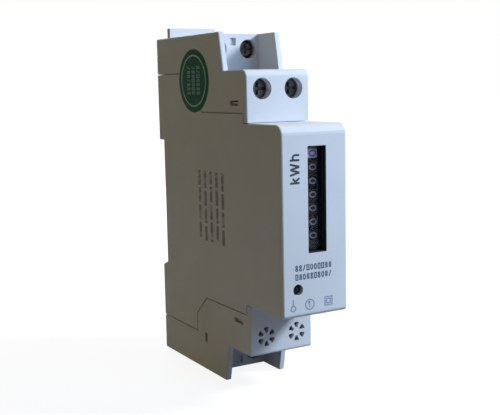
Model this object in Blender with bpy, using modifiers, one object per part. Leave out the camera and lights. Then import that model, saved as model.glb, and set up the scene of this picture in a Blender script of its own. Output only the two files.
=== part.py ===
"""Single-phase energy meter for a 35 mm mounting rail, one 18 mm module wide.

World axes: X across the module, -Y out of the front face, +Z up. The origin is the bottom
centre of the housing. Depths are measured forwards from the housing's back face.
"""
import math
from dataclasses import dataclass

import bmesh
import bpy
from mathutils import Matrix, Vector

MM = 0.001
WELD = 0.001 * MM

# Running gap between pieces that meet, and the play of a shaft in its bore
GAP = 0.3 * MM
SHAFT_PLAY = 0.1 * MM

# Housing envelope
WIDTH = 18.0 * MM
HEIGHT = 90.0 * MM
DEPTH = 66.5 * MM
FRONT_HEIGHT = 45.0 * MM
SHOULDER_DEPTH = 51.0 * MM
SHOULDER_INSET = 9.7 * MM
CHEEK_TIP_DEPTH = 37.5 * MM
CHEEK_ROOT_DEPTH = 39.5 * MM
RECESS_WALL_DEPTH = 29.0 * MM
WALL = 1.5 * MM
SIDE_EDGE = 0.35 * MM
CORNER_RADIUS = 0.4 * MM
SHOULDER_RADIUS = 1.8 * MM
SHOULDER_FOOT_RADIUS = 0.7 * MM
FRONT_RADIUS = 2.4 * MM
FRONT_FOOT_RADIUS = 1.0 * MM
LIP_DEPTH = 3.6 * MM
LIP_THICKNESS = 1.7 * MM
LIP_RISE = 2.8 * MM
LIP_END_GAP = 0.4 * MM

# Rail seat at the back
RAIL_NOTCH_HEIGHT = 35.3 * MM
RAIL_NOTCH_DEPTH = 2.9 * MM
RAIL_CENTRE_DROP = 1.05 * MM
NOTCH_LEAD = 1.2 * MM
HOOK_DEPTH = 1.5 * MM
HOOK_REACH = 1.3 * MM
HOOK_WIDTH = 13.0 * MM

# Seam between the main case and each terminal cover, measured in from the end of the housing
SEAM_BACK_INSET = 9.8 * MM
SEAM_STEP_DEPTH = 21.8 * MM
SEAM_STEP_INSET = 14.8 * MM
SEAM_SLOPE_DEPTH = 27.6 * MM
SEAM_FRONT_RISE = 2.5 * MM
SEAM_GROOVE = 0.2 * MM
SEAM_TONGUE = 0.5 * MM
SEAM_TONGUE_REACH = 1.6 * MM

# Snap latches that show as slits in the covers' sides
LATCH_DEPTH = 45.0 * MM
LATCH_LENGTH = 4.4 * MM
LATCH_RISE = 2.3 * MM
LATCH_SLIT = 1.2 * MM
LATCH_TONGUE = 0.9 * MM

# Openings in the covers
SCREW_HOLE_RADIUS = 2.6 * MM
SCREW_COLLAR = 0.9 * MM
AUX_HOLE_RADIUS = 2.5 * MM
AUX_WIRE_RADIUS = 1.4 * MM
POCKET_WIDTH = 1.6 * MM
POCKET_HEIGHT = 1.9 * MM
POCKET_INSET = 2.0 * MM
ROSETTE_INNER = 1.1 * MM
ROSETTE_OUTER = 2.45 * MM
ROSETTE_PETALS = 6
ROSETTE_SHARE = 0.62
ROSETTE_WALL = 1.0 * MM
SEAL_SLOT_DEPTH = 26.7 * MM
SEAL_SLOT_INSET = 9.0 * MM
SEAL_SLOT_LENGTH = 2.6 * MM
SEAL_SLOT_WIDTH = 1.3 * MM
BAY_RIB = 1.2 * MM
BAY_RIB_HEIGHT = 7.0 * MM
BAY_SPACING = 2.8 * MM

# Front face
WINDOW_X = 0.65 * MM
WINDOW_WIDTH = 5.1 * MM
WINDOW_DROP = 5.0 * MM
PANE_LAP = 1.0 * MM
PANE_THICKNESS = 1.0 * MM
LED_X = -4.9 * MM
LED_DROP = 15.8 * MM
LED_RADIUS = 1.15 * MM
LED_HOLE_RADIUS = 1.35 * MM
LED_LENGTH = 6.2 * MM
LED_RECESS = 0.3 * MM

# Digit drums and the gears beside them
DRUM_COUNT = 7
DRUM_PITCH = 3.26 * MM
DRUM_RADIUS = 5.0 * MM
DRUM_WIDTH = 2.1 * MM
DRUM_RIM = 0.6 * MM
DRUM_WEB = 0.7 * MM
DRUM_HUB_RADIUS = 1.6 * MM
DRUM_SIDE_GAP = 0.4 * MM
DRUM_FRONT_DROP = 4.2 * MM
VIEW_MARGIN_TOP = 1.0 * MM
VIEW_MARGIN_LOW = 2.3 * MM
GEAR_INSET = 0.46 * MM
GEAR_HEIGHT = 0.8 * MM
TOOTH_RISE = 0.8
TOOTH_DROP = 1.05
DRUM_TEETH = 20
PINION_TEETH = 8
MOTOR_TEETH = 16
GEAR_BACKLASH = 0.04 * MM
SHAFT_RADIUS = 0.6 * MM
PLATE = 1.0 * MM
PLATE_HALF_WIDTH = 4.6 * MM
MOTOR_HEIGHT = 9.5 * MM

# Boards and their components
BOARD_THICKNESS = 1.0 * MM
BOARD_BACK_GAP = 1.6 * MM
BOARD_EDGE = 3.5 * MM
BOARD_HOLE_RADIUS = 1.1 * MM
BOARD_HOLE_INSET = 3.0 * MM
BOARD_CORNER = 1.0 * MM
PARTITION_SLOT_GAP = 0.4 * MM

# Conductors between the terminals
BAR_THICKNESS = 1.2 * MM
BAR_WIDTH = 2.9 * MM
SHUNT_LENGTH = 16.0 * MM
SHUNT_LAP = 4.0 * MM
SHUNT_THICKNESS = 1.1 * MM
SHUNT_WAIST = 0.5 * MM
BAR_CORNER = 0.5 * MM
RIVET_RADIUS = 0.7 * MM

# Rail clip
CLIP_HALF_WIDTH = 4.1 * MM
CLIP_FLANGE = 0.8 * MM
CLIP_FACE = 1.4 * MM
CLIP_THICKNESS = 2.4 * MM
CLIP_FOOT = 5.0 * MM
CLIP_TOOTH = 1.3 * MM
CLIP_TRAVEL = 4.0 * MM
CLIP_TIP = 2.0 * MM
CLIP_EYE = 1.5 * MM
CLIP_LEG = 1.0 * MM
CLIP_LEG_GAP = 0.6 * MM
CLIP_LEG_LENGTH = 9.0 * MM

SCREW_HOLE_SEGMENTS = 24
ROUND_SEGMENTS = 16
DRUM_SEGMENTS = 30
CORNER_SEGMENTS = 6


@dataclass(frozen=True)
class BoardItem:
    """Component on the board: centre as depth and rise over the middle, size, and stand-off."""
    depth: float
    rise: float
    length: float
    height: float
    stand: float


FILM_CAPACITOR = BoardItem(13.3 * MM, -2.5 * MM, 10.5 * MM, 13.0 * MM, 5.0 * MM)
ELECTROLYTIC = BoardItem(27.0 * MM, 5.0 * MM, 8.0 * MM, 8.0 * MM, 11.0 * MM)
VARISTOR = BoardItem(27.5 * MM, -7.5 * MM, 9.0 * MM, 9.0 * MM, 3.4 * MM)
CRYSTAL = BoardItem(29.3 * MM, -15.2 * MM, 10.5 * MM, 3.6 * MM, 3.4 * MM)
OPTOCOUPLER = BoardItem(11.3 * MM, 12.7 * MM, 4.6 * MM, 6.4 * MM, 3.2 * MM)
METERING_IC = BoardItem(48.0 * MM, 2.0 * MM, 10.0 * MM, 4.0 * MM, 1.6 * MM)


@dataclass(frozen=True)
class ClampSize:
    """Sizes of one screw terminal; depths run back from the underside of the screw head."""
    wall_inner: float
    head_radius: float
    head_height: float
    shank_radius: float
    shank_length: float
    travel: float
    slack: float
    front_wall: float
    back_wall: float
    side_wall: float
    wire_room: float
    contact: float
    half_height: float
    slot_width: float
    slot_depth: float

    @property
    def head_seat(self):
        """Depth of the underside of the screw head, which turns just behind the wall."""
        return self.wall_inner - GAP - self.head_height

    @property
    def cage_front(self):
        """Depth of the cage's front face with the clamp fully open."""
        return self.head_seat - self.travel - self.slack

    @property
    def contact_front(self):
        """Depth of the front of the fixed contact that the wire is pressed against."""
        return self.head_seat - self.shank_length - GAP

    @property
    def cage_back(self):
        """Depth of the cage's rear face with the clamp fully open."""
        return self.contact_front - self.contact - self.wire_room - self.back_wall


POWER = ClampSize(
    wall_inner=SHOULDER_DEPTH - WALL - SCREW_COLLAR, head_radius=2.7 * MM, head_height=1.8 * MM,
    shank_radius=1.75 * MM, shank_length=6.0 * MM, travel=2.4 * MM, slack=0.5 * MM, front_wall=1.6 * MM,
    back_wall=1.2 * MM, side_wall=0.5 * MM, wire_room=6.2 * MM, contact=BAR_THICKNESS,
    half_height=2.7 * MM, slot_width=0.8 * MM, slot_depth=0.9 * MM)
AUX = ClampSize(
    wall_inner=RECESS_WALL_DEPTH - WALL, head_radius=2.05 * MM, head_height=1.4 * MM,
    shank_radius=1.2 * MM, shank_length=4.6 * MM, travel=1.6 * MM, slack=0.4 * MM, front_wall=1.2 * MM,
    back_wall=0.8 * MM, side_wall=0.6 * MM, wire_room=3.2 * MM, contact=0.8 * MM,
    half_height=2.1 * MM, slot_width=0.6 * MM, slot_depth=0.7 * MM)
POWER_INSET = 14.3 * MM
AUX_INSET = 3.9 * MM
AUX_HALF_WIDTH = 2.1 * MM
AUX_CONTACT_WIDTH = 2.2 * MM
CONTACT_FOOT_INSET = 3.0 * MM
CONTACT_FOOT_STEP = 4.2 * MM

# Places that follow from the sizes above
MIDDLE = HEIGHT / 2
POWER_RISE = MIDDLE - POWER_INSET
AUX_RISE = MIDDLE - AUX_INSET
INNER_HALF = WIDTH / 2 - WALL
FRONT_LOW = MIDDLE - FRONT_HEIGHT / 2
FRONT_HIGH = MIDDLE + FRONT_HEIGHT / 2
SEAM_FRONT = FRONT_HIGH + SEAM_FRONT_RISE
LATCH_HIGH = SEAM_FRONT + LATCH_RISE
BOARD_LOW = FRONT_LOW + BOARD_EDGE
BOARD_HIGH = FRONT_HIGH - BOARD_EDGE
NOTCH_LOW = MIDDLE - RAIL_CENTRE_DROP - RAIL_NOTCH_HEIGHT / 2
NOTCH_HIGH = NOTCH_LOW + RAIL_NOTCH_HEIGHT
BACK_FLOOR = RAIL_NOTCH_DEPTH + WALL
SHOULDER_INNER = SHOULDER_DEPTH - WALL
FRONT_INNER = DEPTH - WALL
RECESS_INNER = RECESS_WALL_DEPTH - WALL
TERMINAL_X = (INNER_HALF + BAY_SPACING / 2) / 2
POWER_HALF_WIDTH = (INNER_HALF - BAY_SPACING / 2) / 2 - GAP
WINDOW_TOP = FRONT_HIGH - WINDOW_DROP
LED_Z = MIDDLE - LED_DROP
PANE_FRONT = FRONT_INNER - GAP
FRAME_FRONT = PANE_FRONT - PANE_THICKNESS - GAP
DRUM_X = INNER_HALF - DRUM_SIDE_GAP - DRUM_RADIUS
DRUM_AXIS_DEPTH = DEPTH - DRUM_FRONT_DROP - DRUM_RADIUS
GEAR_MODULE = (DRUM_RADIUS - GEAR_INSET) / (DRUM_TEETH / 2 + TOOTH_RISE)
MESH_DISTANCE = GEAR_MODULE * (DRUM_TEETH + PINION_TEETH) / 2 + GEAR_BACKLASH
PINION_DEPTH = DRUM_AXIS_DEPTH - MESH_DISTANCE
MOTOR_DISTANCE = GEAR_MODULE * (PINION_TEETH + MOTOR_TEETH) / 2 + GEAR_BACKLASH
MOTOR_DEPTH = PINION_DEPTH - MOTOR_DISTANCE
MOTOR_RADIUS = MOTOR_DISTANCE - GEAR_MODULE * (PINION_TEETH / 2 + TOOTH_RISE) - GAP
FIRST_DRUM_Z = WINDOW_TOP - VIEW_MARGIN_TOP - DRUM_WIDTH / 2
LAST_DRUM_Z = FIRST_DRUM_Z - (DRUM_COUNT - 1) * DRUM_PITCH
WINDOW_LOW = LAST_DRUM_Z - DRUM_WIDTH / 2 - VIEW_MARGIN_LOW
PINION_BASE = DRUM_WIDTH / 2 + GAP
PINION_HEIGHT = DRUM_PITCH - DRUM_WIDTH - 2 * GAP
TOP_PLATE_Z = FIRST_DRUM_Z + PINION_BASE + PINION_HEIGHT + GAP
LOW_PLATE_Z = LAST_DRUM_Z - DRUM_WIDTH / 2 - GAP - PLATE
SHAFT_LOW = LOW_PLATE_Z - GAP
SHAFT_HIGH = TOP_PLATE_Z + PLATE + GAP
MOTOR_TOP = FIRST_DRUM_Z + PINION_BASE - GAP - 0.5 * MM
BOARD_X = -INNER_HALF + GAP
BOARD_FACE = BOARD_X + BOARD_THICKNESS
BOARD_BACK_DEPTH = BACK_FLOOR + BOARD_BACK_GAP
BOARD_FRONT_DEPTH = DEPTH - LED_RECESS - LED_LENGTH - GAP
BAR_DEPTH = POWER.contact_front - BAR_THICKNESS


def world(x, depth, z):
    """World point from a place across the module, a depth from the back and a height."""
    return Vector((x, DEPTH / 2 - depth, z))


def standing(place, about):
    """Matrix that turns local Z forwards (about X) or to the right (about Y) at a place."""
    return Matrix.Translation(place) @ Matrix.Rotation(math.pi / 2, 4, about)


def make_material(name, colour, roughness, metallic=0.0, alpha=1.0):
    """Principled material with one colour."""
    made = bpy.data.materials.new(name)
    made.use_nodes = True
    shader = made.node_tree.nodes["Principled BSDF"]
    shader.inputs["Base Color"].default_value = (*colour, 1.0)
    shader.inputs["Roughness"].default_value = roughness
    shader.inputs["Metallic"].default_value = metallic
    shader.inputs["Alpha"].default_value = alpha
    made.diffuse_color = (*colour, alpha)
    return made


def tidy_mesh(bm):
    """Weld loose caps, merge flat faces and point every face outwards."""
    bmesh.ops.remove_doubles(bm, verts=bm.verts, dist=WELD)
    bmesh.ops.dissolve_limit(bm, angle_limit=math.radians(0.1), verts=bm.verts, edges=bm.edges)
    bmesh.ops.recalc_face_normals(bm, faces=bm.faces)


def baked_mesh(source, name):
    """Mesh of an object with its modifiers applied; the object itself is removed."""
    bpy.context.view_layer.update()
    graph = bpy.context.evaluated_depsgraph_get()
    mesh = bpy.data.meshes.new_from_object(source.evaluated_get(graph))
    mesh.name = name
    bm = bmesh.new()
    bm.from_mesh(mesh)
    tidy_mesh(bm)
    bm.to_mesh(mesh)
    bm.free()
    bpy.data.objects.remove(source, do_unlink=True)
    return mesh


class Workshop:
    """Holds the two collections and makes solids in them."""

    def __init__(self):
        self.parts = bpy.data.collections.new("energy_meter")
        self.cutters = bpy.data.collections.new("cutters")
        for group in (self.parts, self.cutters):
            bpy.context.scene.collection.children.link(group)
        self.root = bpy.data.objects.new("meter_origin", None)
        self.parts.objects.link(self.root)

    def place(self, name, mesh, matrix, as_cutter=False):
        """Object for a mesh, in the parts or among the cutters."""
        made = bpy.data.objects.new(name, mesh)
        made.matrix_world = matrix
        (self.cutters if as_cutter else self.parts).objects.link(made)
        if as_cutter:
            made.hide_render = True
            made.display_type = "WIRE"
        else:
            made.parent = self.root
        return made

    def box(self, name, low, high, as_cutter=False):
        """Box between two (x, depth, z) corners, with its origin at its centre."""
        a, b = world(*low), world(*high)
        bm = bmesh.new()
        bmesh.ops.create_cube(bm, size=1.0)
        bmesh.ops.scale(bm, vec=[abs(b[i] - a[i]) for i in range(3)], verts=bm.verts)
        mesh = bpy.data.meshes.new(name)
        bm.to_mesh(mesh)
        bm.free()
        return self.place(name, mesh, Matrix.Translation((a + b) / 2), as_cutter)

    def rod(self, name, centre, radius, length, axis, segments=ROUND_SEGMENTS, as_cutter=False):
        """Cylinder about the axis X, Y or Z with its origin at its centre."""
        bm = bmesh.new()
        bmesh.ops.create_cone(bm, cap_ends=True, segments=segments, radius1=radius,
                              radius2=radius, depth=length)
        mesh = bpy.data.meshes.new(name)
        bm.to_mesh(mesh)
        bm.free()
        turn = {"X": Matrix.Rotation(math.pi / 2, 4, "Y"), "Y": Matrix.Rotation(math.pi / 2, 4, "X"),
                "Z": Matrix.Identity(4)}[axis]
        return self.place(name, mesh, Matrix.Translation(world(*centre)) @ turn, as_cutter)

    def flat(self, name, outlines, axis, start, end, as_cutter=False, origin=(0.0, 0.0)):
        """Flat outlines given thickness along X, Y (as depth) or Z.

        The outline's plane is (depth, z) for X, (x, z) for Y and (x, depth) for Z. The first
        outline is the outside and any others are holes. The origin lies at the given place
        in the plane, halfway through the thickness.
        """
        curve = bpy.data.curves.new(name, "CURVE")
        curve.dimensions = "2D"
        curve.fill_mode = "BOTH"
        curve.extrude = abs(end - start) / 2
        for outline in outlines:
            spline = curve.splines.new("POLY")
            spline.points.add(len(outline) - 1)
            for point, (u, v) in zip(spline.points, outline):
                point.co = (u - origin[0], v - origin[1], 0.0, 1.0)
            spline.use_cyclic_u = True
        holder = bpy.data.objects.new(name, curve)
        self.parts.objects.link(holder)
        mesh = baked_mesh(holder, name)
        bpy.data.curves.remove(curve)
        mid = (start + end) / 2
        if axis == "X":
            basis = Matrix(((0, 0, -1, 0), (-1, 0, 0, 0), (0, 1, 0, 0), (0, 0, 0, 1)))
            centre = world(mid, origin[0], origin[1])
        elif axis == "Y":
            basis = Matrix.Rotation(math.pi / 2, 4, "X")
            centre = world(origin[0], mid, origin[1])
        else:
            basis = Matrix.Diagonal((1, -1, -1, 1))
            centre = world(origin[0], origin[1], mid)
        return self.place(name, mesh, Matrix.Translation(centre) @ basis, as_cutter)

    def turned(self, name, profile, matrix, segments=ROUND_SEGMENTS, as_cutter=False, ring=False):
        """Solid of revolution about local Z; the profile runs top to bottom down its outside."""
        bm = bmesh.new()
        points = [bm.verts.new((radius, 0.0, height)) for radius, height in profile]
        for first, second in zip(points, points[1:]):
            bm.edges.new((first, second))
        if ring:
            bm.edges.new((points[-1], points[0]))
        mesh = bpy.data.meshes.new(name)
        bm.to_mesh(mesh)
        bm.free()
        made = self.place(name, mesh, matrix, as_cutter)
        spin = made.modifiers.new("turn", "SCREW")
        spin.axis = "Z"
        spin.steps = spin.render_steps = segments
        spin.use_merge_vertices = True
        spin.merge_threshold = WELD
        spin.use_smooth_shade = False
        return made


def combine(target, tools, operation="DIFFERENCE"):
    """Boolean of a piece with a list of cutters, all in one step."""
    stage = "%s_%s_%d" % (target.name, operation.lower(), len(target.modifiers))
    group = bpy.data.collections.new(stage)
    cutters = bpy.data.collections["cutters"]
    cutters.children.link(group)
    for tool in tools:
        group.objects.link(tool)
        cutters.objects.unlink(tool)
    step = target.modifiers.new(stage, "BOOLEAN")
    step.operation = operation
    step.solver = "EXACT"
    step.operand_type = "COLLECTION"
    step.collection = group


def soften_rim(piece, width):
    """Bevel only the edges between a flat solid's two faces and its sides."""
    mesh = piece.data
    bm = bmesh.new()
    bm.from_mesh(mesh)
    weight = bm.edges.layers.float.new("bevel_weight_edge")
    for edge in bm.edges:
        level = abs(edge.verts[0].co.z - edge.verts[1].co.z) < WELD
        if level and edge.calc_face_angle(0.0) > math.radians(30):
            edge[weight] = 1.0
    bm.to_mesh(mesh)
    bm.free()
    step = piece.modifiers.new("rim", "BEVEL")
    step.limit_method = "WEIGHT"
    step.width = width
    step.segments = 2


def dress(piece, finish, angle=30.0):
    """Give a piece its material and shade its round faces smooth."""
    piece.data.materials.clear()
    piece.data.materials.append(finish)
    piece.data.shade_smooth()
    piece.data.set_sharp_from_angle(angle=math.radians(angle))
    return piece


def rounded(corners, segments=CORNER_SEGMENTS):
    """Outline from corners (u, v) or (u, v, radius), each radius drawn as an arc."""
    outline = []
    count = len(corners)
    for index, corner in enumerate(corners):
        here = Vector(corner[:2])
        radius = corner[2] if len(corner) > 2 else 0.0
        if radius <= 0.0:
            outline.append(tuple(here))
            continue
        before = (Vector(corners[index - 1][:2]) - here).normalized()
        after = (Vector(corners[(index + 1) % count][:2]) - here).normalized()
        half = before.angle(after) / 2
        centre = here + (before + after).normalized() * (radius / math.sin(half))
        start = here + before * (radius / math.tan(half)) - centre
        sweep = start.angle_signed(here + after * (radius / math.tan(half)) - centre)
        for step in range(segments + 1):
            turn = Matrix.Rotation(-sweep * step / segments, 2)
            outline.append(tuple(centre + turn @ start))
    return outline


def rectangle(u0, u1, v0, v1, radius=0.0, segments=CORNER_SEGMENTS):
    """Outline of a rectangle, with round corners where a radius is given."""
    return rounded([(u0, v0, radius), (u1, v0, radius), (u1, v1, radius), (u0, v1, radius)], segments)


def circle(u, v, radius, segments=ROUND_SEGMENTS):
    """Outline of a circle."""
    angles = (2 * math.pi * step / segments for step in range(segments))
    return [(u + radius * math.cos(a), v + radius * math.sin(a)) for a in angles]


def mirrored(outline):
    """The same (depth, z) outline at the other end of the housing."""
    return [(depth, HEIGHT - z) for depth, z in outline]


def at_end(height, end):
    """A height in the top half, or with end -1 its mirrored height in the bottom half."""
    return height if end > 0 else HEIGHT - height


def gear_outline(teeth, phase):
    """Spur gear outline with plain tapered teeth and open backlash, one tooth at the phase."""
    pitch_radius = GEAR_MODULE * teeth / 2
    tip, root = pitch_radius + TOOTH_RISE * GEAR_MODULE, pitch_radius - TOOTH_DROP * GEAR_MODULE
    pitch_angle = 2 * math.pi / teeth
    root_half = pitch_angle * (0.27 if teeth > 12 else 0.25)
    tip_half = pitch_angle * (0.12 if teeth > 12 else 0.09)
    outline = []
    for tooth in range(teeth):
        middle = phase + tooth * pitch_angle
        for radius, offset in ((root, -root_half), (tip, -tip_half), (tip, tip_half), (root, root_half)):
            outline.append((radius * math.cos(middle + offset), radius * math.sin(middle + offset)))
    return outline


def housing_outline():
    """Side silhouette of the closed housing in (depth, z)."""
    top_shoulder = HEIGHT - SHOULDER_INSET
    return rounded([
        (0.0, 0.0, CORNER_RADIUS), (CHEEK_TIP_DEPTH, 0.0, CORNER_RADIUS),
        (CHEEK_ROOT_DEPTH, SHOULDER_INSET), (SHOULDER_DEPTH, SHOULDER_INSET, SHOULDER_FOOT_RADIUS),
        (SHOULDER_DEPTH, FRONT_LOW), (DEPTH, FRONT_LOW, FRONT_FOOT_RADIUS),
        (DEPTH, FRONT_HIGH, FRONT_RADIUS), (SHOULDER_DEPTH, FRONT_HIGH),
        (SHOULDER_DEPTH, top_shoulder, SHOULDER_RADIUS), (CHEEK_ROOT_DEPTH, top_shoulder),
        (CHEEK_TIP_DEPTH, HEIGHT, CORNER_RADIUS), (0.0, HEIGHT, CORNER_RADIUS),
        (0.0, NOTCH_HIGH, CORNER_RADIUS), (RAIL_NOTCH_DEPTH, NOTCH_HIGH),
        (RAIL_NOTCH_DEPTH, NOTCH_LOW), (0.0, NOTCH_LOW - NOTCH_LEAD, CORNER_RADIUS)])


def seam_outline(grow):
    """The top cover's share of the silhouette in (depth, z), grown towards the case."""
    beyond = 2 * DEPTH
    back = HEIGHT - SEAM_BACK_INSET - grow
    front = SEAM_FRONT - grow
    foot = FRONT_HIGH + GAP - SEAM_GROOVE - grow
    slant = grow * math.tan(math.radians(22.5))
    edge = SHOULDER_DEPTH + grow
    return [(-beyond, back), (SEAM_STEP_DEPTH - grow, back),
            (SEAM_STEP_DEPTH - grow, HEIGHT - SEAM_STEP_INSET - slant),
            (SEAM_SLOPE_DEPTH - slant, front), (SHOULDER_INNER - grow, front),
            (SHOULDER_INNER - grow, foot), (edge, foot), (edge, FRONT_HIGH + 2 * SEAM_GROOVE),
            (beyond, FRONT_HIGH + 2 * SEAM_GROOVE), (beyond, beyond), (-beyond, beyond)]


def cover_cavity(back_depth):
    """Room inside the top cover in (depth, z), open towards the case."""
    below = FRONT_HIGH - 3 * WALL
    ceiling, shelf = HEIGHT - WALL, HEIGHT - SHOULDER_INSET - WALL
    return [(back_depth, below), (SHOULDER_INNER, below), (SHOULDER_INNER, shelf),
            (RECESS_INNER, shelf), (RECESS_INNER, ceiling), (back_depth, ceiling)]


def case_cavity():
    """Room inside the main case in (depth, z), open at both ends."""
    over, under = HEIGHT + WALL, -WALL
    step = NOTCH_HIGH + WALL
    return [(BACK_FLOOR, under), (SHOULDER_INNER, under), (SHOULDER_INNER, FRONT_LOW + WALL),
            (FRONT_INNER, FRONT_LOW + WALL), (FRONT_INNER, FRONT_HIGH - WALL),
            (SHOULDER_INNER, FRONT_HIGH - WALL), (SHOULDER_INNER, over), (WALL, over),
            (WALL, step), (BACK_FLOOR, step)]


def build_blank(shop, name):
    """The whole housing as one softened solid, which each moulding is cut from."""
    blank = shop.flat(name, [housing_outline()], "X", -WIDTH / 2, WIDTH / 2)
    soften_rim(blank, SIDE_EDGE)
    blank.modifiers.new("triangles", "TRIANGULATE")
    return blank


def rail_channel(shop, label):
    """Cutters for the T-shaped channel in the housing's back that holds the rail clip."""
    wide = CLIP_HALF_WIDTH + CLIP_FLANGE + GAP
    narrow = CLIP_HALF_WIDTH + GAP
    floor = GAP + CLIP_THICKNESS + GAP
    low, high = CLIP_FOOT - CLIP_TRAVEL, NOTCH_LOW + WALL
    return [shop.box("channel_face_" + label, (-narrow, -WALL, low - WALL),
                     (narrow, CLIP_FACE, high), True),
            shop.box("channel_flange_" + label, (-wide, CLIP_FACE - GAP, low),
                     (wide, floor, high), True)]


def partition(shop, end):
    """Floor between one end's terminals and the electronics, level with the front strip's end."""
    reach = INNER_HALF + WALL / 2
    back = WALL / 2 if end > 0 else BACK_FLOOR - WALL / 2
    low, high = at_end(FRONT_HIGH - WALL, end), at_end(FRONT_HIGH - GAP, end)
    return shop.box("partition_%d" % end, (-reach, back, low),
                    (reach, SHOULDER_INNER + WALL / 2, high), True)


def partition_slots(shop, end):
    """Cutters where the conductors and the auxiliary contacts pass the partition."""
    low, high = at_end(FRONT_HIGH - 2 * WALL, end), at_end(FRONT_HIGH + WALL, end)
    slots = []
    for side in (-1, 1):
        for label, half, size in (("bar", BAR_WIDTH / 2, POWER), ("blade", AUX_CONTACT_WIDTH / 2, AUX)):
            x, reach = side * TERMINAL_X, half + PARTITION_SLOT_GAP
            front = size.contact_front + PARTITION_SLOT_GAP
            back = size.contact_front - size.contact - PARTITION_SLOT_GAP
            slots.append(shop.box("%s_slot_%d_%d" % (label, end, side), (x - reach, back, low),
                                  (x + reach, front, high), True))
    return slots


def build_case(shop, shell):
    """Main case: a tube that both terminal covers close, with the rail seat at its back."""
    case = build_blank(shop, "main_case")
    far = WIDTH
    combine(case, [shop.flat("case_seam_top", [seam_outline(GAP)], "X", -far, far, True),
                   shop.flat("case_seam_bottom", [mirrored(seam_outline(GAP))], "X", -far, far, True),
                   shop.flat("case_room", [case_cavity()], "X", -INNER_HALF, INNER_HALF, True)])
    hook = shop.box("rail_hook", (-HOOK_WIDTH / 2, CORNER_RADIUS, NOTCH_HIGH - HOOK_REACH),
                    (HOOK_WIDTH / 2, HOOK_DEPTH, NOTCH_HIGH + WALL / 2), True)
    added = [hook]
    openings = rail_channel(shop, "case")
    for end in (1, -1):
        added.append(partition(shop, end))
        openings += partition_slots(shop, end)
        for side in (-1, 1):
            added += latch_tools(shop, end, side) + seam_tongue(shop, end, side)
    combine(case, added, "UNION")
    half = WINDOW_WIDTH / 2
    window = shop.box("window_cut", (WINDOW_X - half, FRONT_INNER - WALL, WINDOW_LOW),
                      (WINDOW_X + half, DEPTH + WALL, WINDOW_TOP), True)
    lamp = shop.rod("led_cut", (LED_X, DEPTH, LED_Z), LED_HOLE_RADIUS, 4 * WALL, "Y", as_cutter=True)
    combine(case, [window, lamp] + openings)
    return dress(case, shell)


def latch_tools(shop, end, side):
    """Snap tongue that stands up from the case inside a cover, with the nub in its slit."""
    label = "%s_%s" % ("top" if end > 0 else "bottom", "left" if side < 0 else "right")
    outer = INNER_HALF - GAP
    nub_half = LATCH_SLIT / 2 - GAP
    root = at_end(SEAM_FRONT - 2 * WALL, end)
    foot_end = at_end(SEAM_FRONT - 2 * GAP, end)
    nub_low, nub_high = at_end(LATCH_HIGH - nub_half, end), at_end(LATCH_HIGH + nub_half, end)
    start, stop = LATCH_DEPTH - LATCH_LENGTH / 2 + GAP, LATCH_DEPTH + LATCH_LENGTH / 2 - GAP
    inner = side * (outer - LATCH_TONGUE)
    middle = side * (outer - LATCH_TONGUE / 2)
    wall = side * (INNER_HALF + WALL / 2)
    return [shop.box("tongue_" + label, (inner, start, root), (side * outer, stop, nub_high), True),
            shop.box("tongue_foot_" + label, (middle, start, root), (wall, stop, foot_end), True),
            shop.box("nub_" + label, (middle, start, nub_low), (wall, stop, nub_high), True)]


def seam_tongue(shop, end, side):
    """Ledge inside one side wall of the case that stands up behind the rear part of the seam."""
    label = "%s_%s" % ("top" if end > 0 else "bottom", "left" if side < 0 else "right")
    outer = side * (INNER_HALF - GAP)
    inner = outer - side * SEAM_TONGUE
    seam = HEIGHT - SEAM_BACK_INSET
    root, foot_end = at_end(seam - 2 * SEAM_TONGUE_REACH, end), at_end(seam - 2 * GAP, end)
    tip = at_end(seam + SEAM_TONGUE_REACH, end)
    start, stop = BACK_FLOOR + GAP, SEAM_STEP_DEPTH - 2 * GAP
    wall = side * (INNER_HALF + WALL / 2)
    return [shop.box("ledge_" + label, (inner, start, root), (outer, stop, tip), True),
            shop.box("ledge_foot_" + label, (outer - side * SEAM_TONGUE / 2, start, root),
                     (wall, stop, foot_end), True)]


def rosette_petal(x, z, index):
    """One wedge of the rosette over a bottom screw, in (x, z)."""
    middle = 2 * math.pi * (index + 0.5) / ROSETTE_PETALS
    half = math.pi / ROSETTE_PETALS * ROSETTE_SHARE
    corners = [(ROSETTE_INNER, -half * 0.75), (ROSETTE_OUTER, -half), (ROSETTE_OUTER * 1.03, 0.0),
               (ROSETTE_OUTER, half), (ROSETTE_INNER, half * 0.75)]
    return [(x + r * math.cos(middle + a), z + r * math.sin(middle + a)) for r, a in corners]


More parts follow.
